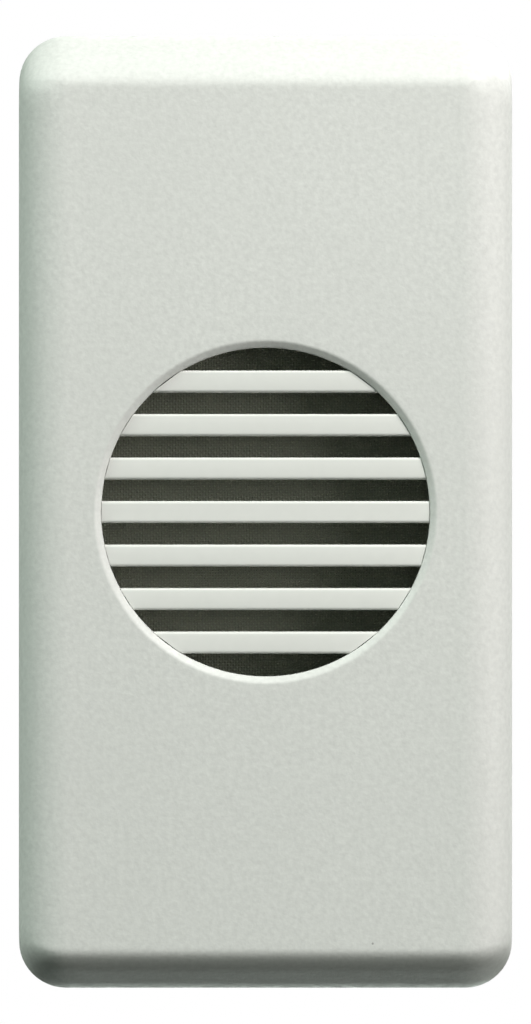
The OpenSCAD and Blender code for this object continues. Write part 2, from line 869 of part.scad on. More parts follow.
// The slug's lower end is a shallow dome
module hammer_head() {
    head_r = head_d / 2;
    low = blade_z - head_len;
    color(brass)
        union() {
            intersection() {
                rod_z(head_r, low, blade_z, 0, strike_y);
                translate([0, strike_y, low + head_d])
                    sphere(head_d);
            }
            rod_z(spigot_d / 2, blade_z - bite, blade_top + spigot_h, 0, strike_y);
        }
}

// The wire climbs from the tab, winds out to its full radius in half a turn and back in at the top
turn_rings = 8;
wire_sides = 6;
spring_low = tab_top + spring_end;
spring_top = arm_low - spring_end;
function turn_radius(a) = spring_r * min(1, a / 180, (360 * spring_turns - a) / 180);
function turn_point(i) =
    let (a = 360 * i / turn_rings, share = i / (turn_rings * spring_turns))
    [
        turn_radius(a) * cos(a),
        spring_y + turn_radius(a) * sin(a),
        spring_low + (spring_top - spring_low) * share
    ];
spring_path = concat(
    [[0, spring_y, tab_top - tab_t / 2]],
    [for (i = [0:turn_rings * spring_turns]) turn_point(i)],
    [[0, spring_y, hook_z], [0, spring_y + tail_end / 2, hook_z]]
);
spring_gap = min([
    for (i = [0:len(spring_path) - 1 - turn_rings])
        for (j = [i + turn_rings:len(spring_path) - 1])
            norm(spring_path[i] - spring_path[j])
]) - wire_d;
echo(str("return_spring least gap to itself ", spring_gap, " mm"));

module return_spring() {
    color(steel) tube(spring_path, wire_r, wire_sides);
}

module rest_bumper() {
    color(rubber)
        union() {
            rod_z(bumper_d / 2, blade_top, post_low, 0, bumper_y);
            rod_z(stem_d / 2, post_low - bite, post_low + stem_len, 0, bumper_y);
        }
}

module gong_post() {
    color(brass)
        difference() {
            union() {
                rod_y(post_d / 2, post_front, leg_front);
                rod_y(post_tail_d / 2, leg_front - bite, leg_front + strap_t + bite);
                rod_y(post_rivet_d / 2, leg_front + strap_t, leg_front + strap_t + post_rivet_h);
            }
            rod_y(gong_screw_d / 2 + run_fit, post_front - over, post_front + gong_screw_len + slip_fit);
        }
}

module gong_washers() {
    color(fibre)
        for (y = [crown_y - washer_t, crown_y + gong_t])
            difference() {
                rod_y(washer_d / 2, y, y + washer_t);
                rod_y(gong_screw_d / 2 + slip_fit, y - over, y + washer_t + over);
            }
}

// The dish has a flat crown and a quarter-oval flank that ends upright at the rim
flank_steps = 16;
function flank(r, y, depth, a) = [crown_r + (r - crown_r) * sin(a), y + depth * (1 - cos(a))];
function flank_curve(r, y, depth) = [for (i = [0:flank_steps]) flank(r, y, depth, 90 * i / flank_steps)];
function turned_back(list) = [for (i = [len(list) - 1:-1:0]) list[i]];

module gong() {
    hole_r = gong_screw_d / 2 + slip_fit;
    inner = flank_curve(gong_in_r, gong_t, gong_depth - gong_t);
    color(bronze)
        translate([0, crown_y, 0])
            rotate([-90, 0, 0])
                rotate_extrude()
                    polygon(concat(
                        [[hole_r, 0]],
                        flank_curve(gong_r, 0, gong_depth),
                        turned_back(inner),
                        [[hole_r, gong_t]]
                    ));
}

module gong_screw() {
    head_front_y = crown_y - washer_t - gong_head_h;
    color(steel)
        difference() {
            union() {
                rod_y(gong_head_d / 2, head_front_y, crown_y - washer_t);
                rod_y(gong_screw_d / 2, crown_y - washer_t - bite, post_front + gong_screw_len);
            }
            block(
                [-gong_head_d, head_front_y - over, -slot_w / 2],
                [gong_head_d, head_front_y + gong_head_h * slot_share, slot_w / 2]
            );
        }
}

module yoke_screws() {
    head_y = body_depth - yoke_head_h;
    color(steel)
        at_yoke_screws()
            difference() {
                union() {
                    rod_y(yoke_head_d / 2, head_y, body_depth);
                    rod_y(yoke_screw_d / 2, leg_back, head_y + bite);
                }
                block(
                    [-yoke_head_d, body_depth - yoke_head_h * slot_share, -slot_w / 2],
                    [yoke_head_d, body_depth + over, slot_w / 2]
                );
            }
}

module terminal_bar(side) {
    x = side * term_x;
    color(brass)
        union() {
            block([x - bar_w / 2, bar_front, floor_z], [x + bar_w / 2, bar_back, shelf_low - slip_fit]);
            block(
                [side * tag_x - tag_w / 2, bar_front, shelf_low - slip_fit - bite],
                [side * tag_x + tag_w / 2, bar_back, tag_top]
            );
        }
}

module terminal_cage(side) {
    color(steel)
        translate([side * term_x, 0, term_z])
            difference() {
                block([-cage_w / 2, cage_front, -cage_h / 2], [cage_w / 2, cage_back, cage_h / 2]);
                block([-cage_in_w / 2, jaw_back, -cage_h], [cage_in_w / 2, cage_back - cage_wall, cage_h]);
                rod_y(term_screw_d / 2 + run_fit, cage_back - cage_wall - over, cage_back + over);
            }
}

module terminal_screw(side) {
    color(steel)
        translate([side * term_x, 0, term_z])
            difference() {
                union() {
                    rod_y(term_head_d / 2, head_front, head_back);
                    rod_y(term_screw_d / 2, bar_back, head_front + bite);
                }
                block(
                    [-slot_w / 2, head_back - term_head_h * slot_share, -term_head_d],
                    [slot_w / 2, head_back + over, term_head_d]
                );
            }
}

module terminal_bar_left() {
    terminal_bar(-1);
}

module terminal_bar_right() {
    terminal_bar(1);
}

module terminal_cage_left() {
    terminal_cage(-1);
}

module terminal_cage_right() {
    terminal_cage(1);
}

module terminal_screw_left() {
    terminal_screw(-1);
}

module terminal_screw_right() {
    terminal_screw(1);
}

front_cover();
sound_grille();
dust_screen();
rear_housing();
yoke();
core();
bobbin();
winding();
coil_tape();
lead_left();
lead_right();
pivot_pin();
armature();
hammer_blade();
blade_rivets();
hammer_head();
return_spring();
rest_bumper();
gong_post();
gong_washers();
gong();
gong_screw();
yoke_screws();
terminal_bar_left();
terminal_bar_right();
terminal_cage_left();
terminal_cage_right();
terminal_screw_left();
terminal_screw_right();
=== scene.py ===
"""Looks of the doorbell bell insert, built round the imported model.

Lengths are in millimetres and become metres when a mesh is made.
The face looks along -Y, +X is to the viewer's right and +Z is up.
"""

import json
from math import atan, atan2, cos, pi, radians, sin, sqrt, tan

import bmesh
import bpy
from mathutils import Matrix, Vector


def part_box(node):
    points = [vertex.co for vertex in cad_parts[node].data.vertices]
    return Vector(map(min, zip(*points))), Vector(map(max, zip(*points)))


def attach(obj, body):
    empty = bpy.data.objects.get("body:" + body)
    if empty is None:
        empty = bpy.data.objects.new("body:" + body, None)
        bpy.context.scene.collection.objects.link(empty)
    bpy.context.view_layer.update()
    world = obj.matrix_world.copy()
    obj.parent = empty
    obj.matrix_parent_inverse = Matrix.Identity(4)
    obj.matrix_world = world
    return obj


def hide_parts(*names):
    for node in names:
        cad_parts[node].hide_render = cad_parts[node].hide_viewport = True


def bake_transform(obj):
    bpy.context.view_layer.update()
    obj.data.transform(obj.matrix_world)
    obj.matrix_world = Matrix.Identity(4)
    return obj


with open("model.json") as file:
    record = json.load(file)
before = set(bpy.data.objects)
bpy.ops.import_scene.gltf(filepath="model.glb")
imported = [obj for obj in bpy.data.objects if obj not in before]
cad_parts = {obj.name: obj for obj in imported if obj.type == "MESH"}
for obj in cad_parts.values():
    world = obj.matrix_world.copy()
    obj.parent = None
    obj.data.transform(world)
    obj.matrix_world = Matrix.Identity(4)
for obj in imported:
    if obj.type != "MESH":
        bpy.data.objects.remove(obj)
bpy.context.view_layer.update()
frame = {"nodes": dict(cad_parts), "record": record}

MM = 0.001
RECORD = frame["record"]
BODY_OF = {node: body for body, nodes in RECORD["behaviour"]["bodies"].items() for node in nodes}
SLOT_OF = {part["node"]: part["material_slot"] for part in RECORD["subparts"]}


def corners(node):
    """Lowest and highest corner of a CAD node in millimetres."""
    low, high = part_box(node)
    return low / MM, high / MM


def grown(form, by):
    """A rounded rectangle (half width, half height, radius) moved outwards all round."""
    return tuple(size + by for size in form)


COVER_LOW, COVER_HIGH = corners("front_cover")
HALF_W = COVER_HIGH.x
HALF_H = COVER_HIGH.z
FACE_Y = COVER_LOW.y

# Cover
FLANGE_T = 2.0
COVER_BACK = -FLANGE_T
CORNER_R = 2.2
COVER_WALL = 1.4
FACE_FORM = (HALF_W, HALF_H, CORNER_R)
INNER_FORM = grown(FACE_FORM, -COVER_WALL)
FRONT_WALL = 1.6
FRONT_INNER = FACE_Y + FRONT_WALL
TOP_SLOPE_H = 1.9
BOTTOM_SLOPE_H = 1.35
SLOPE_DEPTH = 2.4
SLOPE_BLEND = 0.58
SIDE_W = 2.4
SIDE_DEPTH = 1.8
LIP_R = 0.3
INNER_BLEND = 0.05
INNER_SIDE = 0.4
INNER_LIP_R = 0.1
EDGE_BREAK = 0.12
OPENING_R = 7.75
RIM_W = 0.3
RIM_DEPTH = 0.2

# Grille
BAR_COUNT = 7
BAR_PITCH = 2.05
BAR_H = 1.05
BAR_RECESS = 0.25
BAR_FRONT = FACE_Y + BAR_RECESS
BAR_GAP = 0.02
BAR_R = OPENING_R - BAR_GAP
BAR_EDGE = 0.14
RING_R = 9.05
RING_T = 0.8
RING_BACK = FRONT_INNER + RING_T
SKIRT_DEPTH = 1.0
SKIRT_BACK = RING_BACK + SKIRT_DEPTH
SKIRT_T = 0.8
SCREEN_T = 0.3

# Pegs of the cover
PEG_R = 1.0
PEG_TIP = COVER_HIGH.y
PEG_X = 7.4
PEG_Z = 17.6
PEG_PLACES = [(x, 0, z) for x in (-PEG_X, PEG_X) for z in (-PEG_Z, PEG_Z)]
PILLAR_R = 1.6

# Places that several pieces share
YOKE_FRONT = corners("yoke")[0].y
STRAP_T = 1.6
COIL_LOW, COIL_HIGH = corners("bobbin")
COIL_AT = (0, (COIL_LOW.y + COIL_HIGH.y) / 2, 0)
LEAD_X = 5.3
BAR_LOW, BAR_HIGH = corners("terminal_bar_right")
BAR_MID_Y = (BAR_LOW.y + BAR_HIGH.y) / 2
TAG_W = 2.0
TAG_X = BAR_HIGH.x - TAG_W / 2
TERMINAL_X = (BAR_LOW.x + BAR_HIGH.x) / 2
TERMINAL_XS = (-TERMINAL_X, TERMINAL_X)
CAGE_LOW, CAGE_HIGH = corners("terminal_cage_right")
TERMINAL_Z = (CAGE_LOW.z + CAGE_HIGH.z) / 2
WIRE_Y = 17.7
ENTRY_R = 1.4
DRIVER_R = 2.2
YOKE_SCREW_R = 1.25
YOKE_HEAD_R = 2.2
YOKE_HEAD_H = 1.2
YOKE_SCREW_AT = [(-2.4, 0, -3.2), (2.4, 0, -3.2)]
YOKE_BACK = corners("yoke_screws")[0].y + STRAP_T
STANDOFF_R = 2.2
BUMPER_LOW, BUMPER_HIGH = corners("rest_bumper")
BUMPER_AT = (0, (BUMPER_LOW.y + BUMPER_HIGH.y) / 2, 0)
STEM_R = 1.0
STEM_LEN = 3.0
PAD_TOP = BUMPER_HIGH.z - STEM_LEN

# A turned form ends in a small flat of this radius at its axis
END_R = 0.3
# A cutter runs this far past what it cuts
PAST = 1.0

# Angles between faces, in degrees, up to which the shading is smooth
SMOOTH_DEG = 32
HOUSING_DEG = 11
SOFTENED_DEG = 35
SCREW_DEG = 38
CURVED_DEG = 40
ROUND_DEG = 50
WIRE_DEG = 60

# Sides of small, common and large turned forms
SMALL_STEPS = 32
ROUND_STEPS = 48
LARGE_STEPS = 128


# Mesh helpers

CORNER_SHARE = 0.49
SAME_POINT = 0.002
FLAT_DEG = 0.5
SHARP_DEG = 28


def along_axis(axis, along, a, b):
    """A point from its place along an axis and its two places across it."""
    return {"X": (along, a, b), "Y": (a, along, b), "Z": (a, b, along)}[axis]


class Shape:
    """Points and faces of one piece, gathered in millimetres."""

    def __init__(self):
        self.points = []
        self.faces = []

    def add(self, points, faces):
        start = len(self.points)
        self.points += [Vector(p) for p in points]
        self.faces += [[start + i for i in face] for face in faces]
        return self

    def rings(self, rings, closed=False):
        """A skin over rings of equal count; an open skin gets flat ends."""
        count = len(rings[0])
        faces = []
        for j in range(len(rings) if closed else len(rings) - 1):
            a, b = j * count, (j + 1) % len(rings) * count
            faces += [[a + i, a + (i + 1) % count, b + (i + 1) % count, b + i] for i in range(count)]
        if not closed:
            last = (len(rings) - 1) * count
            faces += [list(range(count)), list(range(last, last + count))]
        return self.add([p for ring in rings for p in ring], faces)

    def lathe(self, profile, axis, at=(0, 0, 0), steps=64, closed=False, ridge=None, turn=0.0):
        """A turned profile of (radius, along); ridge adds to the radius, turn shifts the steps."""
        angles = [2 * pi * (i + turn) / steps for i in range(steps)]
        rings = []
        for r, t in profile:
            ring = []
            for a in angles:
                radius = r + ridge(t, a) if ridge else r
                ring.append(Vector(at) + Vector(along_axis(axis, t, radius * cos(a), radius * sin(a))))
            rings.append(ring)
        return self.rings(rings, closed)

    def sweep(self, path, radius, sides):
        """A round wire along a path."""
        path = [Vector(p) for p in path]
        side = Vector((1, 0, 0))
        rings = []
        for i, p in enumerate(path):
            along = (path[min(i + 1, len(path) - 1)] - path[max(i - 1, 0)]).normalized()
            side = (side - side.dot(along) * along).normalized()
            other = along.cross(side)
            turns = [2 * pi * k / sides for k in range(sides)]
            rings.append([p + radius * (cos(a) * side + sin(a) * other) for a in turns])
        return self.rings(rings)

    def extrude(self, section, axis, start, end):
        """A straight solid of a 2-D section along an axis."""
        return self.rings([[along_axis(axis, t, a, b) for a, b in section] for t in (start, end)])

    def box(self, low, high):
        (x0, y0, z0), (x1, y1, z1) = low, high
        return self.extrude([(x0, y0), (x1, y0), (x1, y1), (x0, y1)], "Z", z0, z1)

    def mesh(self, name, smooth_deg=SMOOTH_DEG):
        bm = bmesh.new()
        made = [bm.verts.new(p * MM) for p in self.points]
        for face in self.faces:
            bm.faces.new([made[i] for i in face])
        bmesh.ops.recalc_face_normals(bm, faces=bm.faces)
        return mesh_of(bm, name, smooth_deg)

    def stand_for(self, node, kind, smooth_deg=SMOOTH_DEG):
        """Makes the shape the piece that stands for a CAD node."""
        return place(self.mesh(f"{node}_{kind}", smooth_deg), kind, node)


def mesh_of(bm, name, smooth_deg):
    mesh = bpy.data.meshes.new(name)
    bm.to_mesh(mesh)
    bm.free()
    return shaded(mesh, smooth_deg)


def shaded(mesh, smooth_deg):
    """Smooth shading up to an angle; a flat face with many corners stays flat."""
    mesh.shade_smooth()
    mesh.set_sharp_from_angle(angle=radians(smooth_deg))
    for face in mesh.polygons:
        face.use_smooth = len(face.vertices) <= 4
    return mesh


def fillet(points, radii, steps=4, closed=False):
    """A line of 2-D points with its corners rounded, by a radius for each point."""
    out = []
    for i, (point, r) in enumerate(zip(points, radii)):
        here = Vector(point)
        if r <= 0 or (not closed and i in (0, len(points) - 1)):
            out.append(here)
            continue
        before = Vector(points[i - 1]) - here
        after = Vector(points[(i + 1) % len(points)]) - here
        room = min(before.length * CORNER_SHARE, after.length * CORNER_SHARE)
        reach = min(r / tan(before.angle(after) / 2), room)
        a, b = here + before.normalized() * reach, here + after.normalized() * reach
        for k in range(steps + 1):
            t = k / steps
            out.append((1 - t) ** 2 * a + 2 * t * (1 - t) * here + t * t * b)
    return out


def stepped(end_r, start, *steps):
    """A profile of steps (radius, how far along) with one radius at both ends."""
    points = [(end_r, start)]
    for r, end in steps:
        points += [(r, start), (r, end)]
        start = end
    return points + [(end_r, start)]


def linked(name, data):
    piece = bpy.data.objects.new(name, data)
    bpy.context.scene.collection.objects.link(piece)
    return piece


def carved(mesh, others, operation, smooth_deg=SMOOTH_DEG):
    """A mesh with other meshes joined to it (UNION) or cut out of it (DIFFERENCE)."""
    base = linked("carved", mesh)
    tools = [linked("carving_tool", other) for other in others]
    for tool in tools:
        step = base.modifiers.new("carve", "BOOLEAN")
        step.operation = operation
        step.solver = "EXACT"
        step.object = tool
    graph = bpy.context.evaluated_depsgraph_get()
    result = bpy.data.meshes.new_from_object(base.evaluated_get(graph))
    for piece in [base, *tools]:
        bpy.data.objects.remove(piece)
    return shaded(result, smooth_deg)


def softened(mesh, width):
    """A mesh with its sharp edges rounded off."""
    bm = bmesh.new()
    bm.from_mesh(mesh)
    bmesh.ops.remove_doubles(bm, verts=bm.verts, dist=SAME_POINT * MM)
    bmesh.ops.dissolve_limit(bm, angle_limit=radians(FLAT_DEG), verts=bm.verts, edges=bm.edges)
    bmesh.ops.recalc_face_normals(bm, faces=bm.faces)
    shared = [edge for edge in bm.edges if len(edge.link_faces) == 2]
    sharp = [edge for edge in shared if edge.calc_face_angle() > radians(SHARP_DEG)]
    bmesh.ops.bevel(
        bm, geom=sharp, offset=width * MM, offset_type="OFFSET", segments=3, profile=0.5, affect="EDGES"
    )
    return mesh_of(bm, f"{mesh.name}_softened", SOFTENED_DEG)


def joined(name, meshes, smooth_deg):
    bm = bmesh.new()
    for mesh in meshes:
        bm.from_mesh(mesh)
    return mesh_of(bm, name, smooth_deg)


def dress(piece, slot):
    """Gives a piece the finish of one of the record's material slots."""
    piece.data.materials.clear()
    piece.data.materials.append(MATERIALS[slot])
    piece.modifiers.new("even_shading", "WEIGHTED_NORMAL").keep_sharp = True
    return piece


def place(mesh, kind, *nodes):
    """Links a mesh as the piece for CAD nodes, on their body and with their finish."""
    piece = dress(linked(f"{nodes[0]}_{kind}", mesh), SLOT_OF[nodes[0]])
    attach(piece, BODY_OF[nodes[0]])
    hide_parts(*nodes)
    return piece


def eased(node, width):
    """Replaces a CAD node by its own form with its sharp edges rounded off."""
    return place(softened(frame["nodes"][node].data, width), "eased", node)


# Materials

# Noise mostly lies between these values
NOISE_LOW, NOISE_HIGH = 0.3, 0.7
# Detail of fine noise, in octaves
FINE = 3.0

# Plastics; the sizes of the mottle and of the gloss are in grains
PLASTIC_IOR = 1.5
MOTTLE_GRAINS = 1.6
GLOSS_GRAINS = 2.5
CLOUD_SIZE = 9.0
CLOUD_SHARE = 0.35
CLOUD_CONTRAST = 0.8
SPECK_SPREAD = 2.4
SPECK_R = 0.03
SPECK_SHADE = 0.55

# Metals; marks and stains show within these parts of their noise
MARK_RANGE = (0.25, 0.75)
GLOSS_RANGE = (0.2, 0.8)
STAIN_RANGE = (0.45, 0.75)


class Nodes:
    """A tree of shader nodes."""

    def __init__(self, tree):
        self.tree = tree

    def node(self, kind, inputs, **settings):
        """The outputs of a new node with settings, and with links or values for its inputs."""
        made = self.tree.nodes.new(f"ShaderNode{kind}")
        for name, value in settings.items():
            setattr(made, name, value)
        for name, value in inputs.items():
            self.feed(made.inputs[name], value)
        return made.outputs

    def feed(self, socket, value):
        if isinstance(value, bpy.types.NodeSocket):
            self.tree.links.new(value, socket)
        else:
            socket.default_value = value

    def ramp(self, value, *stops):
        """Turns a value into a colour by stops of (place, colour)."""
        made = self.node("ValToRGB", {"Fac": value})["Color"]
        elements = made.node.color_ramp.elements
        while len(elements) < len(stops):
            elements.new(0.5)
        for element, (spot, colour) in zip(elements, stops):
            element.position = spot
            element.color = (*colour, 1)
        return made

    def span(self, value, out_low, out_high, low=NOISE_LOW, high=NOISE_HIGH):
        """Maps a value from one range, that of noise if none is given, to another."""
        ends = enumerate((value, low, high, out_low, out_high))
        return self.node("MapRange", dict(ends))["Result"]


class Surface(Nodes):
    """A material whose nodes read the piece's own place in millimetres."""

    def __init__(self, name, **values):
        self.material = bpy.data.materials.new(name)
        self.material.use_nodes = True
        super().__init__(self.material.node_tree)
        self.sockets = self.tree.nodes["Principled BSDF"].inputs
        for socket, value in values.items():
            self.sockets[socket.replace("_", " ")].default_value = value
        spot = self.node("TexCoord", {})["Object"]
        self.place = self.math3("MULTIPLY", spot, (1 / MM, 1 / MM, 1 / MM))

    def math3(self, operation, a, b):
        return self.node("VectorMath", {0: a, 1: b}, operation=operation)[0]

    def math(self, operation, a, b=0.0):
        return self.node("Math", {0: a, 1: b}, operation=operation)[0]

    def plus(self, a, b, share):
        """A value plus a share of another."""
        return self.math("ADD", a, self.math("MULTIPLY", b, share))

    def wave(self, value, factor):
        return self.math("SINE", self.math("MULTIPLY", value, factor))

    def noise(self, size, detail=2.0, stretch=(1, 1, 1)):
        """Soft blotches of about that size; stretch makes them longer along an axis."""
        spot = self.math3("DIVIDE", self.place, stretch)
        return self.node("TexNoise", {"Vector": spot, "Scale": 1 / size, "Detail": detail})["Fac"]

    def tint(self, amount, below, above):
        """Lays a colour over another by an amount."""
        inputs = {"Factor": amount, "A": below, "B": (*above, 1)}
        return self.node("Mix", inputs, data_type="RGBA")["Result"]

    def finish(self, colour, rough, height, depth):
        """Feeds the shader, with a height times a depth as relief, and returns the material."""
        relief = self.node("Bump", {"Strength": 1.0, "Distance": depth * MM, "Height": height})
        self.feed(self.sockets["Base Color"], colour)
        self.feed(self.sockets["Roughness"], rough)
        self.feed(self.sockets["Normal"], relief["Normal"])
        return self.material


def scaled(colour, factor):
    return tuple(min(c * factor, 1.0) for c in colour)


def specked(skin, shade, share, speck):
    """Small specks of a colour, in a share of the cells that they are spread over."""
    cells = skin.node("TexVoronoi", {"Vector": skin.place, "Scale": 1 / SPECK_SPREAD})
    near = skin.math("LESS_THAN", cells["Distance"], SPECK_R)
    chosen = skin.node("SeparateColor", {"Color": cells["Color"]})[0]
    few = skin.math("LESS_THAN", chosen, share)
    return skin.tint(skin.math("MULTIPLY", near, few), shade, speck)


def moulded(name, colour, contrast, grain, grain_depth, rough, specks=0.0):
    """Moulded plastic: fine mottle, a spark-eroded grain and a few dark specks."""
    skin = Surface(name, IOR=PLASTIC_IOR)
    dark, light = scaled(colour, 1 - contrast), scaled(colour, 1 + contrast)
    mottle = skin.noise(grain * MOTTLE_GRAINS, FINE)
    shade = skin.ramp(mottle, (NOISE_LOW, dark), (NOISE_HIGH, light))
    cloud = skin.span(skin.noise(CLOUD_SIZE, 1.0), 0.0, CLOUD_SHARE)
    shade = skin.tint(cloud, shade, scaled(colour, 1 - contrast * CLOUD_CONTRAST))
    if specks:
        shade = specked(skin, shade, specks, scaled(colour, SPECK_SHADE))
    gloss = skin.span(skin.noise(grain * GLOSS_GRAINS), rough - 0.05, rough + 0.06)
    return skin.finish(shade, gloss, skin.noise(grain), grain_depth)


def metal(name, colour, rough, grain, stain, size=0.12, depth=0.002):
    """Bare or plated metal with fine tool marks along one axis and faint stains."""
    dark, light, stain_size, stain_share = 0.88, 1.06, 1.8, 0.5
    skin = Surface(name, Metallic=1.0)
    marks = skin.noise(size, FINE, grain)
    tones = zip(MARK_RANGE, (scaled(colour, dark), scaled(colour, light)))
    blotch = skin.span(skin.noise(stain_size, FINE), 0.0, stain_share, *STAIN_RANGE)
    shade = skin.tint(blotch, skin.ramp(marks, *tones), stain)
    gloss = skin.span(marks, rough - 0.06, rough + 0.1, *GLOSS_RANGE)
    return skin.finish(shade, gloss, marks, depth)


def turned(name, colour, rough, stain, pitch=0.16, depth=0.003):
    """Metal with fine rings from the lathe about the Y axis."""
    dark, light, stain_size, stain_share, gloss_size = 0.9, 1.05, 2.4, 0.55, 1.2
    wobble_size, wobble, fine_share = 2.5, 0.1, 0.37
    skin = Surface(name, Metallic=1.0)
    flat = skin.math3("MULTIPLY", skin.place, (1.0, 0.0, 1.0))
    length = skin.node("VectorMath", {0: flat}, operation="LENGTH")["Value"]
    radius = skin.plus(length, skin.noise(wobble_size), wobble)
    coarse = skin.wave(radius, 2 * pi / pitch)
    fine = skin.wave(radius, 2 * pi / (pitch * fine_share))
    marks = skin.plus(skin.math("MULTIPLY", coarse, 0.3), fine, 0.2)
    level = skin.math("ADD", marks, 0.5)
    tone = skin.ramp(level, (0.0, scaled(colour, dark)), (1.0, scaled(colour, light)))
    blotch = skin.span(skin.noise(stain_size, FINE), 0.0, stain_share, *STAIN_RANGE)
    gloss = skin.span(skin.noise(gloss_size, FINE), rough - 0.05, rough + 0.09)
    return skin.finish(skin.tint(blotch, tone, stain), gloss, marks, depth)


def woven(name, dark, light, pitch):
    """A plain weave of two threads across x and z."""
    fluff_size, fluff_share, depth = 0.1, 0.3, 0.05
    skin = Surface(name, Sheen_Weight=0.15)
    split = skin.node("SeparateXYZ", {0: skin.place})
    across, up = skin.wave(split["X"], pi / pitch), skin.wave(split["Z"], pi / pitch)
    over = skin.math("MULTIPLY", across, up)
    rounds = skin.math("ADD", skin.math("ABSOLUTE", across), skin.math("ABSOLUTE", up))
    threads = skin.plus(skin.math("MULTIPLY", over, 0.35), rounds, 0.5)
    fluff = skin.noise(fluff_size, FINE)
    height = skin.plus(threads, fluff, fluff_share)
    shade = skin.ramp(skin.span(height, 0.0, 1.0, 0.1, 1.5), (0.2, dark), (0.9, light))
    return skin.finish(shade, skin.span(fluff, 0.85, 1.0), height, depth)


# Colour, contrast of the mottle, size and depth of the grain, roughness, and share of cells with a speck
PLASTICS = {
    "cover_plastic": ((0.72, 0.728, 0.7), 0.065, 0.16, 0.008, 0.52, 0.12),
    "grille_plastic": ((0.8, 0.805, 0.77), 0.012, 0.3, 0.002, 0.4),
    "housing_plastic": ((0.045, 0.049, 0.05), 0.12, 0.2, 0.006, 0.45),
    "bobbin_nylon": ((0.74, 0.7, 0.58), 0.03, 0.5, 0.002, 0.42),
    "bumper_rubber": ((0.018, 0.018, 0.018), 0.2, 0.12, 0.006, 0.75),
    "washer_fibre": ((0.2, 0.06, 0.035), 0.18, 0.14, 0.006, 0.7),
    "coil_tape": ((0.72, 0.46, 0.07), 0.05, 0.7, 0.003, 0.24),
    "lead_blue": ((0.03, 0.09, 0.26), 0.1, 0.4, 0.003, 0.34),
    "lead_red": ((0.36, 0.035, 0.02), 0.1, 0.4, 0.003, 0.34),
}
# Colour, roughness, stretch of the tool marks, colour of the stains, and size and depth of the marks
METALS = {
    "strap_steel": ((0.6, 0.6, 0.57), 0.3, (1, 1, 14), (0.5, 0.48, 0.4)),
    "soft_iron": ((0.34, 0.34, 0.34), 0.42, (10, 1, 1), (0.24, 0.2, 0.16)),
    "spring_steel": ((0.55, 0.55, 0.56), 0.24, (1, 14, 1), (0.44, 0.44, 0.448)),
    "screw_steel": ((0.7, 0.7, 0.68), 0.3, (1, 1, 1), (0.62, 0.6, 0.55), 0.05, 0.0007),
    "winding_copper": ((0.66, 0.29, 0.13), 0.28, (12, 12, 1), (0.5, 0.2, 0.09)),
    "brass": ((0.72, 0.5, 0.19), 0.28, (1, 10, 1), (0.5, 0.32, 0.12)),
}
MATERIALS = {slot: moulded(slot, *look) for slot, look in PLASTICS.items()}
MATERIALS |= {slot: metal(slot, *look) for slot, look in METALS.items()}
MATERIALS["screen_cloth"] = woven("screen_cloth", (0.27, 0.28, 0.225), (0.34, 0.35, 0.285), 0.13)
MATERIALS["gong_bronze"] = turned("gong_bronze", (0.68, 0.44, 0.17), 0.24, (0.56, 0.35, 0.13))


# Cover

SIDE_STEPS = 64
END_STEPS = 32
ARC_STEPS = 12
# Bands along the outline with close and with even rings
LIP_BAND = 0.45
SKIN_BAND = 3.0
INNER_LIP_BAND = 0.2
LEAST_R = 0.3
# The collar behind the face that takes the grille's ring
COLLAR_IN = RING_R + 0.05
COLLAR_OUT = RING_R + 0.75
COLLAR_BACK = RING_BACK + 0.6


def outline(half_w, half_h, r, side_steps=SIDE_STEPS, end_steps=END_STEPS):
    """Points (x, z) round a rounded rectangle, always in the same order."""
    x, z = half_w - r, half_h - r
    runs = [
        ((half_w, -z), (half_w, z), side_steps, (x, z), 0),
        ((x, half_h), (-x, half_h), end_steps, (-x, z), 90),
        ((-half_w, z), (-half_w, -z), side_steps, (-x, -z), 180),
        ((-x, -half_h), (x, -half_h), end_steps, (x, -z), 270),
    ]
    points = []
    for start, end, steps, middle, turn in runs:
        a, b = Vector(start), Vector(end)
        points += [a.lerp(b, i / steps) for i in range(steps)]
        for i in range(ARC_STEPS):
            t = radians(turn + 90 * i / ARC_STEPS)
            points.append(Vector(middle) + r * Vector((cos(t), sin(t))))
    return points


def ramped(t, blend, rise):
    """Nought, then a straight rise, with a round blend between them."""
    if t <= -blend:
        return 0.0
    if t >= blend:
        return rise * t
    return rise * (t + blend) ** 2 / (4 * blend)


def rounded_edge(t, width, depth):
    """Depth of a quarter oval at t into its width."""
    share = min(max(t / width, 0.0), 1.0)
    return depth * (1 - sqrt(1 - share * share))


def hollow(x, z, inset, form, side, blend, lip):
    """Depth of the skin behind its flat; the sides' rounding runs on over the slopes."""
    half_w, half_h, _ = form
    sides = rounded_edge(abs(x) - half_w + side[0], *side)
    slope_h = TOP_SLOPE_H if z > 0 else BOTTOM_SLOPE_H
    rise = SLOPE_DEPTH / slope_h
    mitre = tan(atan(rise) / 2)
    ends = ramped(abs(z) - half_h + slope_h + mitre * sides, blend, rise)
    return sides + ends + rounded_edge(lip - inset, lip, lip)


def skin_rings(form, flat_y, side, blend, lip, insets):
    """Rings from the outline inwards over the sloped ends and the rounded sides."""
    half_w, half_h, r = form
    rings = []
    for inset in insets:
        ring = []
        for x, z in outline(half_w - inset, half_h - inset, max(r - inset, LEAST_R)):
            ring.append((x, flat_y + hollow(x, z, inset, form, side, blend, lip), z))
        rings.append(ring)
    return rings


def level_ring(points, y):
    return [(x, y, z) for x, z in points]


def blended_rings(a, b, steps):
    return [[Vector(p).lerp(Vector(q), k / steps) for p, q in zip(a, b)] for k in range(1, steps)]


def skin_insets(close, reach, close_steps, steps):
    """Insets from the outline inwards, close at the lip and even beyond it."""
    lip = [close * (k / close_steps) ** 2 for k in range(close_steps)]
    return lip + [close + (reach - close) * k / steps for k in range(steps + 1)]


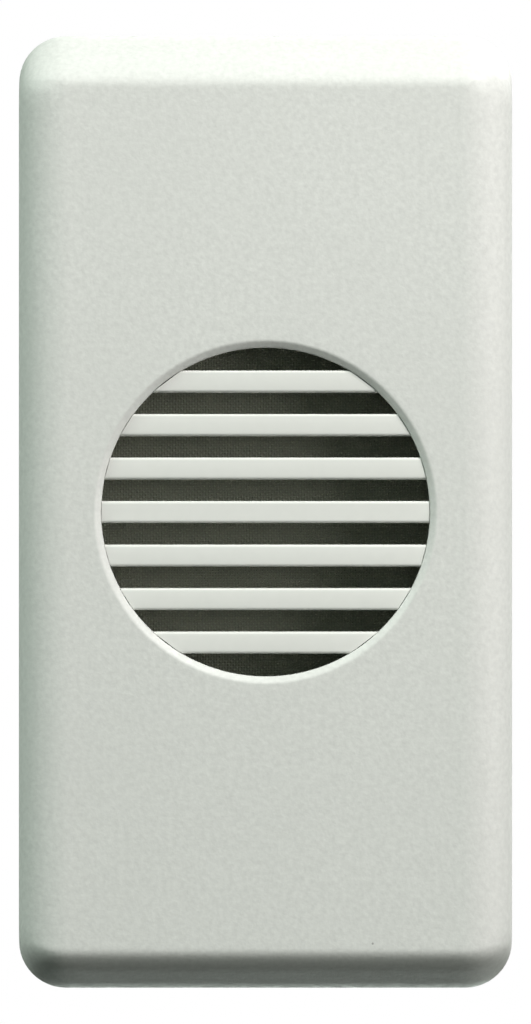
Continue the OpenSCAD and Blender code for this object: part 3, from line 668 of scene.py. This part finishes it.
def opening_profile():
    """The opening's rim and the collar behind it."""
    land = 0.7
    rim = [(OPENING_R + land, FACE_Y), (OPENING_R + RIM_W, FACE_Y)]
    rim += [(OPENING_R, FACE_Y + RIM_DEPTH), (OPENING_R, FRONT_INNER)]
    collar = stepped(OPENING_R, FRONT_INNER, (COLLAR_IN, COLLAR_BACK), (COLLAR_OUT, FRONT_INNER))[:-1]
    return fillet(rim, [0, 0.3, 0.08, 0], 6) + fillet(collar, [0, 0, 0.15, 0.15, 0], 3)[1:]


def cover_shell():
    """The cover's skin, from its back rim over the face to the inside."""
    insets = skin_insets(LIP_BAND, SKIN_BAND, 9, 20)
    outer = skin_rings(FACE_FORM, FACE_Y, (SIDE_W, SIDE_DEPTH), SLOPE_BLEND, LIP_R, insets)
    insets = skin_insets(INNER_LIP_BAND, TOP_SLOPE_H, 4, 6) + [TOP_SLOPE_H + INNER_BLEND]
    inner_side = (INNER_SIDE, INNER_SIDE)
    inner = skin_rings(INNER_FORM, FRONT_INNER, inner_side, INNER_BLEND, INNER_LIP_R, insets)
    angles = [atan2(z, x) for x, y, z in outer[-1]]
    opening = [[(r * cos(a), y, r * sin(a)) for a in angles] for r, y in opening_profile()]

    edge_y = COVER_BACK - EDGE_BREAK
    rings = [level_ring(outline(*grown(FACE_FORM, -EDGE_BREAK)), COVER_BACK)]
    rings += [level_ring(outline(*FACE_FORM), edge_y), *outer]
    rings += blended_rings(outer[-1], opening[0], 5) + opening
    rings += [*reversed(inner), level_ring(outline(*INNER_FORM), edge_y)]
    rings += [level_ring(outline(*grown(INNER_FORM, EDGE_BREAK)), COVER_BACK)]
    return Shape().rings(rings, closed=True).mesh("front_cover_shell", CURVED_DEG)


def cover_pegs():
    root, lead_len, lead_w = 0.3, 0.5, 0.35
    steps = [(PILLAR_R, COVER_BACK), (PEG_R, PEG_TIP - lead_len)]
    profile = stepped(END_R, FRONT_INNER - root, *steps)[:-1]
    profile += [(PEG_R - lead_w, PEG_TIP), (END_R, PEG_TIP)]
    peg = fillet(profile, [0, 0, 0.12, 0.1, 0.3, 0.1, 0])
    return [Shape().lathe(peg, "Y", at, SMALL_STEPS).mesh("peg") for at in PEG_PLACES]


def build_cover():
    whole = carved(cover_shell(), cover_pegs(), "UNION", CURVED_DEG)
    place(whole, "moulding", "front_cover")


# Grille and screen

BAR_SLICES = 24
BAR_ROOT = 0.35


def bar_mesh(middle):
    """A bar that ends at the opening and behind the face runs on into the ring."""
    draft, back_edge, back_gap = 0.015, 0.03, 0.1
    half, back = BAR_H / 2, RING_BACK - back_gap
    points = [(-half + draft, BAR_FRONT), (half - draft, BAR_FRONT), (half, back), (-half, back)]
    section = fillet(points, [BAR_EDGE, BAR_EDGE, back_edge, back_edge], 5, closed=True)
    rings = []
    for k in range(BAR_SLICES + 1):
        share = 2 * k / BAR_SLICES - 1
        ring = []
        for z, y in section:
            reach = BAR_R if y < FRONT_INNER else BAR_R + BAR_ROOT
            ring.append((share * sqrt(reach**2 - (middle + z) ** 2), y, middle + z))
        rings.append(ring)
    return Shape().rings(rings).mesh("bar")


def build_grille():
    bars = [bar_mesh((i - (BAR_COUNT - 1) / 2) * BAR_PITCH) for i in range(BAR_COUNT)]
    gap, edge = 0.1, 0.08
    steps = [(RING_R, SKIRT_BACK), (RING_R - SKIRT_T, RING_BACK)]
    section = fillet(stepped(OPENING_R + gap, FRONT_INNER, *steps), [edge] * 6, 3, closed=True)
    ring = Shape().lathe(section, "Y", steps=LARGE_STEPS, closed=True, turn=0.5)
    place(carved(ring.mesh("ring"), bars, "UNION"), "moulding", "sound_grille")


def build_screen():
    """A disc of cloth glued to the skirt, dished a little where it is free."""
    free_r = RING_R - SKIRT_T
    sag, ripple_depth, ripples = 0.1, 0.015, 5
    thick_share, centre_share = 0.6, 0.25
    steps, turns = 24, 96

    def dish(r, t):
        share = min(r / free_r, 1.0)
        ripple = ripple_depth * sin(ripples * t) * sin(pi * share)
        return sag * (1 - share * share) + ripple

    across = [RING_R * (k + centre_share) / (steps + centre_share) for k in range(steps + 1)]
    angles = [2 * pi * i / turns for i in range(turns)]
    front, back = [
        [[(r * cos(a), y + dish(r, a), r * sin(a)) for a in angles] for r in across]
        for y in (SKIRT_BACK, SKIRT_BACK + SCREEN_T * thick_share)
    ]
    shape = Shape().rings(front + list(reversed(back)))
    piece = shape.stand_for("dust_screen", "cloth")


# Housing

HOUSING_LOW, HOUSING_HIGH = corners("rear_housing")
LIP_FRONT = HOUSING_LOW.y
BODY_BACK = HOUSING_HIGH.y
SIDE_LEDGE = 0.75
END_LEDGE = 1.3
BODY_WALL = 1.4
BACK_WALL = 1.6
BODY_R = 1.8
BACK_INNER = BODY_BACK - BACK_WALL
LIP_T = 0.9
# Gaps of a slip fit and a push fit, and how far joined forms overlap
SLIP = 0.1
PUSH = 0.05
BITE = 0.2
BODY_FORM = (HALF_W - SIDE_LEDGE, HALF_H - END_LEDGE, BODY_R)
ROOM_FORM = grown(BODY_FORM, -BODY_WALL)
LIP_FORM = grown(INNER_FORM, -SLIP)
LIP_ROOM_FORM = (LIP_FORM[0] - LIP_T, ROOM_FORM[1] - SLIP, ROOM_FORM[2])
FLOOR_Z = -ROOM_FORM[1]
ENTRY_TOP = FLOOR_Z + 0.7
SHELF_TOP = -10.8
SHELF_T = 1.0
SHELF_LOW = SHELF_TOP - SHELF_T
SHELF_FRONT = 14.6
WALL_EDGE = 0.12
GATE_AT = (0, 0, 6)
EDGE_STEPS = 9
LEAST_EDGE_R = 0.2


def box_ring(form, y):
    return level_ring(outline(*form, side_steps=1, end_steps=1), y)


def rounded_rings(form, face_y, side_y, inward=1):
    """Rings round an edge, from a face out to the side; inward is -1 at the edge of a hollow."""
    half_w, half_h, r = form
    edge = abs(side_y - face_y)
    rings = []
    for k in range(EDGE_STEPS + 1):
        a = pi / 2 * k / EDGE_STEPS
        inset = inward * edge * (1 - sin(a))
        y = face_y + (side_y - face_y) * (1 - cos(a))
        rings.append(box_ring((half_w - inset, half_h - inset, max(r - inset, LEAST_EDGE_R)), y))
    return rings


def housing_shell():
    """Walls, flange and lip as one skin, from the outer back round to the inner back."""
    back_edge, flange_edge, lip_edge, lip_inner, corner = 0.5, 0.2, 0.15, 0.1, 0.35
    rings = rounded_rings(BODY_FORM, BODY_BACK, BODY_BACK - back_edge)
    rings += [box_ring(BODY_FORM, 0)]
    rings += rounded_rings(FACE_FORM, 0, -flange_edge)
    rings += reversed(rounded_rings(FACE_FORM, COVER_BACK, COVER_BACK + flange_edge))
    rings += [box_ring(LIP_FORM, COVER_BACK)]
    rings += reversed(rounded_rings(LIP_FORM, LIP_FRONT, LIP_FRONT + lip_edge))
    rings += rounded_rings(LIP_ROOM_FORM, LIP_FRONT, LIP_FRONT + lip_inner, inward=-1)
    rings += [box_ring(LIP_ROOM_FORM, COVER_BACK), box_ring(ROOM_FORM, COVER_BACK)]
    rings += reversed(rounded_rings(ROOM_FORM, BACK_INNER, BACK_INNER - corner))
    return Shape().rings(rings).mesh("housing_shell")


def pin_boss(axis, at, r, start, end, edge=0.15):
    """A round boss with a rounded free end at its start."""
    profile = fillet(stepped(END_R, start, (r, end)), [0, edge, 0, 0])
    return Shape().lathe(profile, axis, at, ROUND_STEPS).mesh("boss")


def drill(axis, at, steps):
    """A cutter turned from (radius, along) steps, its corners between those of a boss."""
    profile = [(END_R, steps[0][1]), *steps, (END_R, steps[-1][1])]
    return Shape().lathe(profile, axis, at, ROUND_STEPS, turn=0.5).mesh("drill")


def mouth(r, y, size):
    """Steps of a drill that widens where it comes out of a face at y."""
    return [(r, y - size), (r + 2 * size, y + size)]


def snap_lugs():
    """Wedges that hold the wall frame; their ramps run on into the body's wall."""
    frame_t, lug_len, flat, height, half, root = 4.0, 5.0, 0.8, 1.0, 4.0, 0.5
    top = BODY_FORM[1]
    ramp = (lug_len - flat) / height
    side = [(frame_t, top - root), (frame_t, top + height), (frame_t + flat, top + height)]
    side += [(frame_t + lug_len + ramp * root, top - root)]
    for end in (-1, 1):
        section = [(y, end * z) for y, z in fillet(side, [0, 0.15, 0.4, 0])]
        yield Shape().extrude(section, "X", -half, half).mesh("lug")


def guide_ribs():
    rib_h, half, length, spread = 0.35, 1.0, 16.0, 12.0
    wall = BODY_FORM[0]
    for side in (-1, 1):
        xs = sorted((side * (wall - BITE), side * (wall + rib_h)))
        for z in (-spread, spread):
            rib = Shape().box((xs[0], -BITE, z - half), (xs[1], length, z + half))
            yield softened(rib.mesh("rib"), WALL_EDGE)


def housing_added():
    """Lugs, ribs, inner walls and bosses that join the shell."""
    partition, socket_wall, socket_end, post_wall, collar_wall = 0.7, 1.3, 1.1, 1.55, 0.9
    half, back, under = ROOM_FORM[0] + BITE, BACK_INNER + BITE, FLOOR_Z - BITE
    walls = [
        ((-half, SHELF_FRONT, SHELF_LOW), (half, back, SHELF_TOP)),
        ((-partition, SHELF_FRONT, under), (partition, back, SHELF_LOW + BITE)),
    ]
    socket = (PEG_R + socket_wall, COVER_BACK, PEG_TIP + socket_end)
    collar = (ENTRY_R + collar_wall, ENTRY_TOP, under)
    added = [*snap_lugs(), *guide_ribs()]
    added += [softened(Shape().box(*wall).mesh("inner_wall"), WALL_EDGE) for wall in walls]
    added += [pin_boss("Y", at, *socket) for at in PEG_PLACES]
    added += [pin_boss("Y", at, STANDOFF_R, YOKE_BACK, back) for at in YOKE_SCREW_AT]
    added += [pin_boss("Z", BUMPER_AT, STEM_R + post_wall, PAD_TOP, ROOM_FORM[1] + BITE)]
    added += [pin_boss("Z", (x, WIRE_Y, 0), *collar) for x in TERMINAL_XS]
    return added


def housing_cuts():
    """Cutters for the holes, the gate mark and the slots of the terminal bars."""
    lead_w, lead_out, lead_in = 0.6, 0.25, 0.3
    sink_break, driver_break, gate_r, gate_break = 0.06, 0.25, 1.5, 0.2
    funnel = 0.5
    peg_bore, stem_bore = PEG_R + PUSH, STEM_R + PUSH
    peg_hole = [(PEG_R + lead_w, COVER_BACK - lead_out), (peg_bore, COVER_BACK + lead_in)]
    peg_hole += [(peg_bore, PEG_TIP + SLIP)]
    bore, sink, sink_y = YOKE_SCREW_R + SLIP, YOKE_HEAD_R + SLIP, BODY_BACK - YOKE_HEAD_H
    screw_hole = [(bore, YOKE_BACK - PAST), (bore, sink_y), (sink, sink_y)]
    screw_hole += mouth(sink, BODY_BACK, sink_break)
    driver = [(DRIVER_R, BACK_INNER - PAST), *mouth(DRIVER_R, BODY_BACK, driver_break)]
    driver += [(DRIVER_R + 2 * driver_break, BODY_BACK + PAST)]
    bottom = -BODY_FORM[1]
    entry = [(ENTRY_R + 2 * funnel, bottom - PAST), (ENTRY_R + funnel, bottom)]
    entry += [(ENTRY_R, bottom + funnel), (ENTRY_R, ENTRY_TOP + PAST)]
    entry = fillet(entry, [0, 0.3, 0.5, 0])
    stem_hole = [(stem_bore, PAD_TOP - PAST), (stem_bore, BUMPER_HIGH.z + SLIP)]

    cuts = [drill("Y", at, peg_hole) for at in PEG_PLACES]
    cuts += [drill("Y", at, screw_hole) for at in YOKE_SCREW_AT]
    cuts += [drill("Y", (x, 0, TERMINAL_Z), driver) for x in TERMINAL_XS]
    cuts += [drill("Z", (x, WIRE_Y, 0), entry) for x in TERMINAL_XS]
    cuts += [drill("Z", BUMPER_AT, stem_hole), drill("Y", GATE_AT, mouth(gate_r, BODY_BACK, gate_break))]
    for side in ("left", "right"):
        low, high = corners(f"terminal_bar_{side}")
        tag_low = high.x - TAG_W if high.x > 0 else low.x
        foot = (low.x - SLIP, low.y - SLIP, FLOOR_Z), (high.x + SLIP, high.y + SLIP, FLOOR_Z + PAST)
        tag_start = (tag_low - SLIP, SHELF_FRONT - PAST, SHELF_LOW - PAST)
        tag = tag_start, (tag_low + TAG_W + SLIP, high.y + SLIP, SHELF_TOP + PAST)
        cuts += [Shape().box(*slot).mesh("bar_slot") for slot in (foot, tag)]
    return cuts


def build_housing():
    stub_r, stub_sunk, stub_root, stub_edge = 0.7, 0.06, 0.4, 0.1
    whole = carved(carved(housing_shell(), housing_added(), "UNION"), housing_cuts(), "DIFFERENCE")
    stub = pin_boss("Y", GATE_AT, stub_r, BODY_BACK - stub_sunk, BODY_BACK - stub_root, stub_edge)
    whole = carved(whole, [stub], "UNION", HOUSING_DEG)
    place(whole, "moulding", "rear_housing")


# Screws

SLOT_W = 0.7
SLOT_SHARE = 0.5
SLOT_BREAK = 0.06
FINE_PITCH = 0.45
TERMINAL_PITCH = 0.6
# Rows of points along each turn of a thread
THREAD_ROWS = 8
# Depth of a thread and taper of its tip, as shares of the pitch
THREAD_DEPTH = 0.32
THREAD_TAPER = 0.3


def thread(pitch, start, end):
    """A screw thread cut into a shank between two places along it."""
    low, high = min(start, end), max(start, end)

    def ridge(along, angle):
        fade = min((along - low) / pitch, (high - along) / pitch, 1.0)
        share = (along / pitch + angle / (2 * pi)) % 1
        return -(pitch * THREAD_DEPTH) * max(fade, 0.0) * abs(2 * share - 1)

    return ridge


def screw_slot(at, head_r, top, bottom, axis, facing):
    """A cutter for the slot of a screw's head along X or Z."""
    above, beyond = 0.4, 0.2
    half = SLOT_W / 2
    wide, open_y = half + SLOT_BREAK, top + facing * above
    right = [(wide, open_y), (wide, top), (half, top - facing * SLOT_BREAK), (half, bottom)]
    section = right + [(-across, y) for across, y in reversed(right)]
    if axis == "X":
        middle, section = at[0], [(y, at[2] + across) for across, y in section]
    else:
        middle, section = at[2], [(at[0] + across, y) for across, y in section]
    shape = Shape().extrude(section, axis, middle - head_r - beyond, middle + head_r + beyond)
    return shape.mesh("slot")


def slotted_screw(node, at, head_r, head_h, shank_r, pitch, slot_axis, facing):
    """A cheese-headed screw along Y; facing is the way its slot looks."""
    flat_share, runout = 0.3, 0.2
    low, high = corners(node)
    top, tip = (high.y, low.y) if facing > 0 else (low.y, high.y)
    neck = top - facing * head_h
    rows = int(abs(tip - neck) / pitch * THREAD_ROWS)
    head = [(flat_share * head_r, top), (head_r, top), (head_r, neck), (shank_r, neck)]
    profile = fillet(head, [0, 0.28, 0.06, 0], 5)
    profile += [(shank_r, neck + (tip - neck) * k / rows) for k in range(1, rows)]
    profile += [(shank_r - pitch * THREAD_TAPER, tip), (END_R, tip)]
    ridge = thread(pitch, neck - facing * runout, tip)
    body = Shape().lathe(profile, "Y", at, ROUND_STEPS, ridge=ridge).mesh("screw")
    slot = screw_slot(at, head_r, top, top - facing * head_h * SLOT_SHARE, slot_axis, facing)
    return carved(body, [slot], "DIFFERENCE", SCREW_DEG)


def build_screws():
    size = (YOKE_HEAD_R, YOKE_HEAD_H, YOKE_SCREW_R, FINE_PITCH, "X")
    place(slotted_screw("gong_screw", (0, 0, 0), *size, -1), "turned", "gong_screw")
    pair = [slotted_screw("yoke_screws", at, *size, 1) for at in YOKE_SCREW_AT]
    place(joined("yoke_screws_turned", pair, SCREW_DEG), "turned", "yoke_screws")
    head_r, head_h, shank_r = 2.7, 1.8, 1.75
    size = (head_r, head_h, shank_r, TERMINAL_PITCH, "Z")
    for node, x in zip(("terminal_screw_left", "terminal_screw_right"), TERMINAL_XS):
        place(slotted_screw(node, (x, 0, TERMINAL_Z), *size, 1), "turned", node)


# Gong

GONG_HOLE_R = 1.35


def build_gong():
    low, high = corners("gong")
    crown_y, depth, r = low.y, high.y - low.y, high.x
    thick, crown_r, hole_edge, lip_edge, steps = 0.8, 2.8, 0.1, 0.3, 28

    def flank(reach, y, deep):
        turns = [pi / 2 * k / steps for k in range(steps + 1)]
        return [(crown_r + (reach - crown_r) * sin(a), y + deep * (1 - cos(a))) for a in turns]

    outer, inner = flank(r, crown_y, depth), flank(r - thick, crown_y + thick, depth - thick)
    points = [(GONG_HOLE_R, crown_y), *outer, *reversed(inner), (GONG_HOLE_R, crown_y + thick)]
    radii = [hole_edge] + [0] * steps + [lip_edge, lip_edge] + [0] * steps + [hole_edge]
    shape = Shape().lathe(fillet(points, radii, 5, closed=True), "Y", steps=LARGE_STEPS, closed=True)
    shape.stand_for("gong", "dish", CURVED_DEG)


def build_gong_post():
    low, high = corners("gong_post")
    r, bore, bore_depth, bore_tip, tail_r, rivet_r, rivet_h = high.x, 1.3, 3.1, 0.4, 1.5, 2.1, 0.4
    leg_back, bore_end = YOKE_FRONT + STRAP_T, low.y + bore_depth
    steps = [(r, YOKE_FRONT), (tail_r, leg_back), (rivet_r, leg_back + rivet_h)]
    profile = [(END_R, bore_end + bore_tip), (bore, bore_end)]
    profile += stepped(bore, low.y, *steps)[:-1] + [(END_R, high.y)]
    shape = Shape().lathe(fillet(profile, [0, 0, 0.15, 0.2, 0.15, 0, 0, 0.05, 0.3, 0]), "Y")
    shape.stand_for("gong_post", "turned")


def build_gong_washers():
    low, high = corners("gong_washers")
    thick, edge = 0.4, 0.08
    shape = Shape()
    for start in (low.y, high.y - thick):
        ring = stepped(GONG_HOLE_R, start, (high.x, start + thick))
        shape.lathe(fillet(ring, [edge] * 4, closed=True), "Y", closed=True)
    shape.stand_for("gong_washers", "cut")


# Magnet


def build_core():
    low, high = corners("core")
    r, tail_r, rivet_r = high.x, 2.0, 2.7
    steps = [(rivet_r, COIL_LOW.z - STRAP_T), (tail_r, COIL_LOW.z), (r, high.z)]
    profile = stepped(END_R, low.z, *steps)
    shape = Shape().lathe(fillet(profile, [0, 0.45, 0.05, 0, 0, 0.1, 0.2, 0], 5), "Z", COIL_AT)
    shape.stand_for("core", "turned")


def build_bobbin():
    bottom, top, r = COIL_LOW.z, COIL_HIGH.z, COIL_HIGH.x
    flange, tube_r, hole_r, lead_r, lead_break, steps = 1.0, 3.8, 3.1, 0.65, 0.3, 96
    profile = stepped(hole_r, bottom, (r, bottom + flange), (tube_r, top - flange), (r, top))
    section = fillet(profile, [0.15, 0.3, 0.2, 0.1, 0.1, 0.2, 0.3, 0.15], closed=True)
    shape = Shape().lathe(section, "Z", COIL_AT, steps, closed=True)
    hole = [(lead_r + lead_break, bottom - lead_break), (lead_r, bottom)]
    hole += [(lead_r, bottom + flange + PAST)]
    holes = [drill("Z", (x, COIL_AT[1], 0), hole) for x in (-LEAD_X, LEAD_X)]
    place(carved(shape.mesh("bobbin_moulding"), holes, "DIFFERENCE"), "moulding", "bobbin")


def build_winding():
    """Close turns of enamelled wire, bare at both ends of the tape."""
    low, high = corners("winding")
    wire_r, tube_r, arc, steps = 0.16, 3.82, 5, 72
    turns = int((high.z - low.z) / (2 * wire_r))
    pitch = (high.z - low.z) / turns
    angles = [pi * (k + 0.5) / arc for k in range(arc)]
    profile = [(tube_r, low.z)]
    for i in range(turns):
        for a in angles:
            along = pitch * (i + 0.5 - 0.5 * cos(a))
            profile.append((high.x - wire_r + wire_r * sin(a), low.z + along))
    profile.append((tube_r, high.z))
    Shape().lathe(profile, "Z", COIL_AT, steps, closed=True).stand_for("winding", "turns", WIRE_DEG)


def build_tape():
    """Nearly two turns of tape, with the free end lying on the first turn."""
    low, high = corners("coil_tape")
    margin, layers, film, steps = 0.7, 1.9, 0.11, 72
    slack, gap, first, waves, wave_h, creep, narrower = 0.05, 0.02, 0.6, 5, 0.03, 0.1, 0.15
    start = high.x - 2 * film - slack
    rings = []
    for i in range(int(layers * steps) + 1):
        turn = i / steps
        a = 2 * pi * turn - first
        inner = start + (film + gap) * turn
        wave = wave_h * sin(waves * a) + creep * turn
        z0, z1 = low.z + margin + wave, high.z - margin - narrower + wave
        ring = []
        for r, z in ((inner, z0), (inner + film, z0), (inner + film, z1), (inner, z1)):
            ring.append((r * sin(a), COIL_AT[1] + r * cos(a), z))
        rings.append(ring)
    Shape().rings(rings).stand_for("coil_tape", "wrap")


def build_lead(node):
    """An insulated lead from the bobbin's flange to a soldered end on its tag."""
    low, high = corners(node)
    side = 1 if high.x > 0 else -1
    r, sag, drop, rings, bare, sleeve_steps, solder_steps = 0.6, 2.6, 1.8, 24, 0.9, 20, 24
    end = Vector((side * TAG_X, BAR_MID_Y, low.z))
    start, up = Vector((side * LEAD_X, COIL_AT[1], COIL_LOW.z)), Vector((0, 0, 1))
    bend = [start, start - sag * up, end + (r + drop) * up, end + r * up]
    path = [Vector((start.x, start.y, high.z - BITE))]
    for i in range(rings + 1):
        t = i / rings
        weights = ((1 - t) ** 3, 3 * t * (1 - t) ** 2, 3 * t * t * (1 - t), t**3)
        path.append(sum((w * p for w, p in zip(weights, bend)), Vector()))
    cover = [p for p in path if p.z > end.z + bare]
    Shape().sweep(cover, r, sleeve_steps).stand_for(node, "sleeve", ROUND_DEG)

    cone = [(END_R, 0), (r, 0), (0.42, 0.35), (0.36, 0.7), (END_R, bare + 0.2)]
    foot = [(reach, end.z + above) for reach, above in cone]
    solder = Shape().lathe(fillet(foot, [0, 0.1, 0.3, 0.1, 0]), "Z", (end.x, end.y, 0), solder_steps)
    joint = dress(linked(f"{node}_solder", solder.mesh(f"{node}_solder", ROUND_DEG)), "screw_steel")
    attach(joint, BODY_OF[node])


# Hammer


def build_pin():
    low, high = corners("pivot_pin")
    middle_z = (low.z + high.z) / 2
    r, edge, steps = high.z - middle_z, 0.22, 40
    profile = fillet(stepped(END_R, low.x, (r, high.x)), [0, edge, edge, 0])
    shape = Shape().lathe(profile, "X", (0, (low.y + high.y) / 2, middle_z), steps)
    shape.stand_for("pivot_pin", "turned")


# A dome ends in a small flat of this share of its radius
DOME_FLAT = 0.06


def dome(r, base, height, steps=6):
    """Profile points of a shallow dome from its edge to near its middle."""
    turns = [pi / 2 * k / steps for k in range(steps)]
    round_part = [(r * cos(a), base + height * sin(a)) for a in turns]
    return round_part + [(DOME_FLAT * r, base + height)]


def build_rivets():
    low, high = corners("blade_rivets")
    blade_top = corners("hammer_blade")[1].z
    head_r, shank_r, edge = high.x, 0.6, 0.12
    shape = Shape()
    for y in (low.y + head_r, high.y - head_r):
        profile = [(END_R, low.z), (shank_r, low.z), (shank_r, blade_top), (head_r, blade_top)]
        profile += dome(head_r, blade_top + edge, high.z - blade_top - edge)
        shape.lathe(profile, "Z", (0, y, 0), SMALL_STEPS)
    shape.stand_for("blade_rivets", "set")


def build_hammer_head():
    low, high = corners("hammer_head")
    blade_low, blade_high = corners("hammer_blade")
    r, at = high.x, (0, (low.y + high.y) / 2, 0)
    spigot_r, upset_r, ball_r, shoulder, edge, steps = 0.7, 1.0, 2 * high.x, 0.18, 0.05, 7
    face = []
    for k in range(steps + 1):
        reach = r * (DOME_FLAT + (1 - DOME_FLAT) * k / steps)
        face.append((reach, low.z + ball_r - sqrt(ball_r**2 - reach**2)))
    barrel = [face[-1], (r, blade_low.z), (spigot_r, blade_low.z)]
    barrel += [(spigot_r, blade_high.z), (upset_r, blade_high.z)]
    profile = face[:-1] + fillet(barrel, [0, shoulder, 0, 0, 0], 5)
    profile += dome(upset_r, blade_high.z + edge, high.z - blade_high.z - edge)
    Shape().lathe(profile, "Z", at, ROUND_STEPS).stand_for("hammer_head", "turned")


def build_bumper():
    profile = stepped(END_R, BUMPER_LOW.z, (BUMPER_HIGH.x, PAD_TOP), (STEM_R, BUMPER_HIGH.z))
    section = fillet(profile, [0, 0.5, 0.25, 0.1, 0.3, 0], 6)
    shape = Shape().lathe(section, "Z", BUMPER_AT, ROUND_STEPS)
    shape.stand_for("rest_bumper", "moulding", ROUND_DEG)


def build_spring():
    """A close helix from the yoke's tab to a hook in the armature's tail."""
    low, high = corners("return_spring")
    tab_top = 1.6
    arm_under = 10.6
    y, r, wire_r, turns, straight, per_turn, sides = 23.0, 1.2, 0.2, 7, 0.6, 24, 12
    bend, bend_steps = 0.3, 5
    start, end = tab_top + straight, arm_under - straight
    path = [(0, y, low.z), (0, y, tab_top)]
    count = turns * per_turn
    for i in range(count + 1):
        a = 2 * pi * i / per_turn
        lead_in = min(1.0, i / (per_turn / 2), (count - i) / (per_turn / 2))
        reach = r * lead_in * lead_in * (3 - 2 * lead_in)
        path.append((reach * cos(a), y + reach * sin(a), start + (end - start) * i / count))
    hook_z = high.z - wire_r
    path.append((0, y, hook_z - bend))
    for k in range(1, bend_steps + 1):
        a = pi / 2 * k / bend_steps
        path.append((0, y + bend * (1 - cos(a)), hook_z - bend + bend * sin(a)))
    path.append((0, high.y, hook_z))
    wire = Shape().sweep(path, wire_r, sides).mesh("return_spring_wire", WIRE_DEG)
    piece = dress(linked("return_spring_wire", wire), "spring_steel")
    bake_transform(piece)
    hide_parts("return_spring")


# Pieces that keep the form of their CAD node, with the width of their rounded edges
EASED_EDGES = {
    "yoke": 0.1,
    "armature": 0.1,
    "hammer_blade": 0.06,
    "terminal_bar_left": 0.08,
    "terminal_cage_left": 0.1,
    "terminal_bar_right": 0.08,
    "terminal_cage_right": 0.1,
}

build_cover()
build_grille()
build_screen()
build_housing()
build_gong()
build_gong_post()
build_gong_washers()
build_core()
build_bobbin()
build_winding()
build_tape()
build_lead("lead_left")
build_lead("lead_right")
build_pin()
build_rivets()
build_hammer_head()
build_bumper()
build_spring()
build_screws()
for node, width in EASED_EDGES.items():
    eased(node, width)


# Stage

PHOTO_HEIGHT_PX = 1024
FACE_HEIGHT_PX = 952
LENS = 400
SENSOR = 36
OUTLINE_Y = FACE_Y + SLOPE_DEPTH
# Brightness of the sky at heights from straight below (0) to straight above (1)
SKY_LEVELS = ((0.0, 0.05), (0.3, 0.03), (0.44, 0.05), (0.57, 0.38), (1.0, 0.28))
SKY_COLOUR = (0.86, 1.0, 0.88)
FLOOR_DOWN = -260
FLOOR_HALF = 4800
FLOOR_GREYS = (0.27, 0.29)
FLOOR_GRAIN = 60.0
FLOOR_GLOW = {"Emission_Color": (1, 1, 0.99, 1), "Emission_Strength": 0.55}


def add_light(name, at, size, energy, aim=(0, FACE_Y, 0), colour=(1, 1, 1)):
    data = bpy.data.lights.new(name, "AREA")
    data.shape = "DISK"
    data.size = size * MM
    data.energy = energy
    data.color = colour
    lamp = linked(name, data)
    lamp.location = Vector(at) * MM
    lamp.rotation_euler = (Vector(aim) - Vector(at)).to_track_quat("-Z", "Y").to_euler()


def build_world():
    """White for the camera; a soft sky for the light, dim from below."""
    world = bpy.data.worlds.new("studio")
    bpy.context.scene.world = world
    world.use_nodes = True
    world.node_tree.nodes.clear()
    nodes = Nodes(world.node_tree)
    way = nodes.node("TexCoord", {})["Generated"]
    height = nodes.span(nodes.node("SeparateXYZ", {0: way})["Z"], 0, 1, -1, 1)
    stops = [(at, scaled(SKY_COLOUR, level)) for at, level in SKY_LEVELS]
    sky = nodes.node("Background", {"Color": nodes.ramp(height, *stops)})[0]
    white = nodes.node("Background", {"Color": (1, 1, 1, 1)})[0]
    seen = nodes.node("LightPath", {})["Is Camera Ray"]
    nodes.node("OutputWorld", {"Surface": nodes.node("MixShader", {0: seen, 1: sky, 2: white})[0]})


def build_floor():
    ways = ((-1, -1), (1, -1), (1, 1), (-1, 1))
    shape = Shape().add([(x * FLOOR_HALF, y * FLOOR_HALF, FLOOR_DOWN) for x, y in ways], [[0, 1, 2, 3]])
    floor = linked("floor", shape.mesh("floor"))
    paper = Surface("floor_paper", Roughness=0.9, **FLOOR_GLOW)
    dark, light = [(grey, grey, grey) for grey in FLOOR_GREYS]
    shade = paper.ramp(paper.noise(FLOOR_GRAIN), (NOISE_LOW, dark), (NOISE_HIGH, light))
    paper.feed(paper.sockets["Base Color"], shade)
    floor.data.materials.append(paper.material)
    floor.visible_diffuse = False
    floor.visible_glossy = False


def build_lights():
    add_light("key", (112, -149, 184), 90, 0.52, colour=(1, 0.96, 0.965))
    add_light("left_fill", (-395, -165, 310), 200, 1.3, colour=(0.88, 1, 0.92))
    add_light("right_fill", (390, -260, 36), 160, 0.7, colour=(1, 0.98, 0.95))
    add_light("under_glow", (20, 290, -225), 200, 0.42, aim=(0, 0, -20), colour=(0.9, 1, 0.93))
    add_light("back_rim", (250, 450, 350), 260, 3.0, aim=(0, 10, 0))


def build_camera():
    """A camera that shows the face at the size and place it has in the photo."""
    camera = linked("camera", bpy.data.cameras.new("camera"))
    camera.data.lens = LENS
    camera.data.sensor_width = SENSOR
    view_height = 2 * HALF_H * PHOTO_HEIGHT_PX / FACE_HEIGHT_PX
    camera.location = Vector((0, OUTLINE_Y - view_height * LENS / SENSOR, 0)) * MM
    camera.rotation_euler = (pi / 2, 0, 0)
    camera.data.clip_start, camera.data.clip_end = 0.01, 10
    bpy.context.scene.camera = camera
    bpy.context.scene.view_settings.view_transform = "Standard"


build_world()
build_floor()
build_lights()
build_camera()
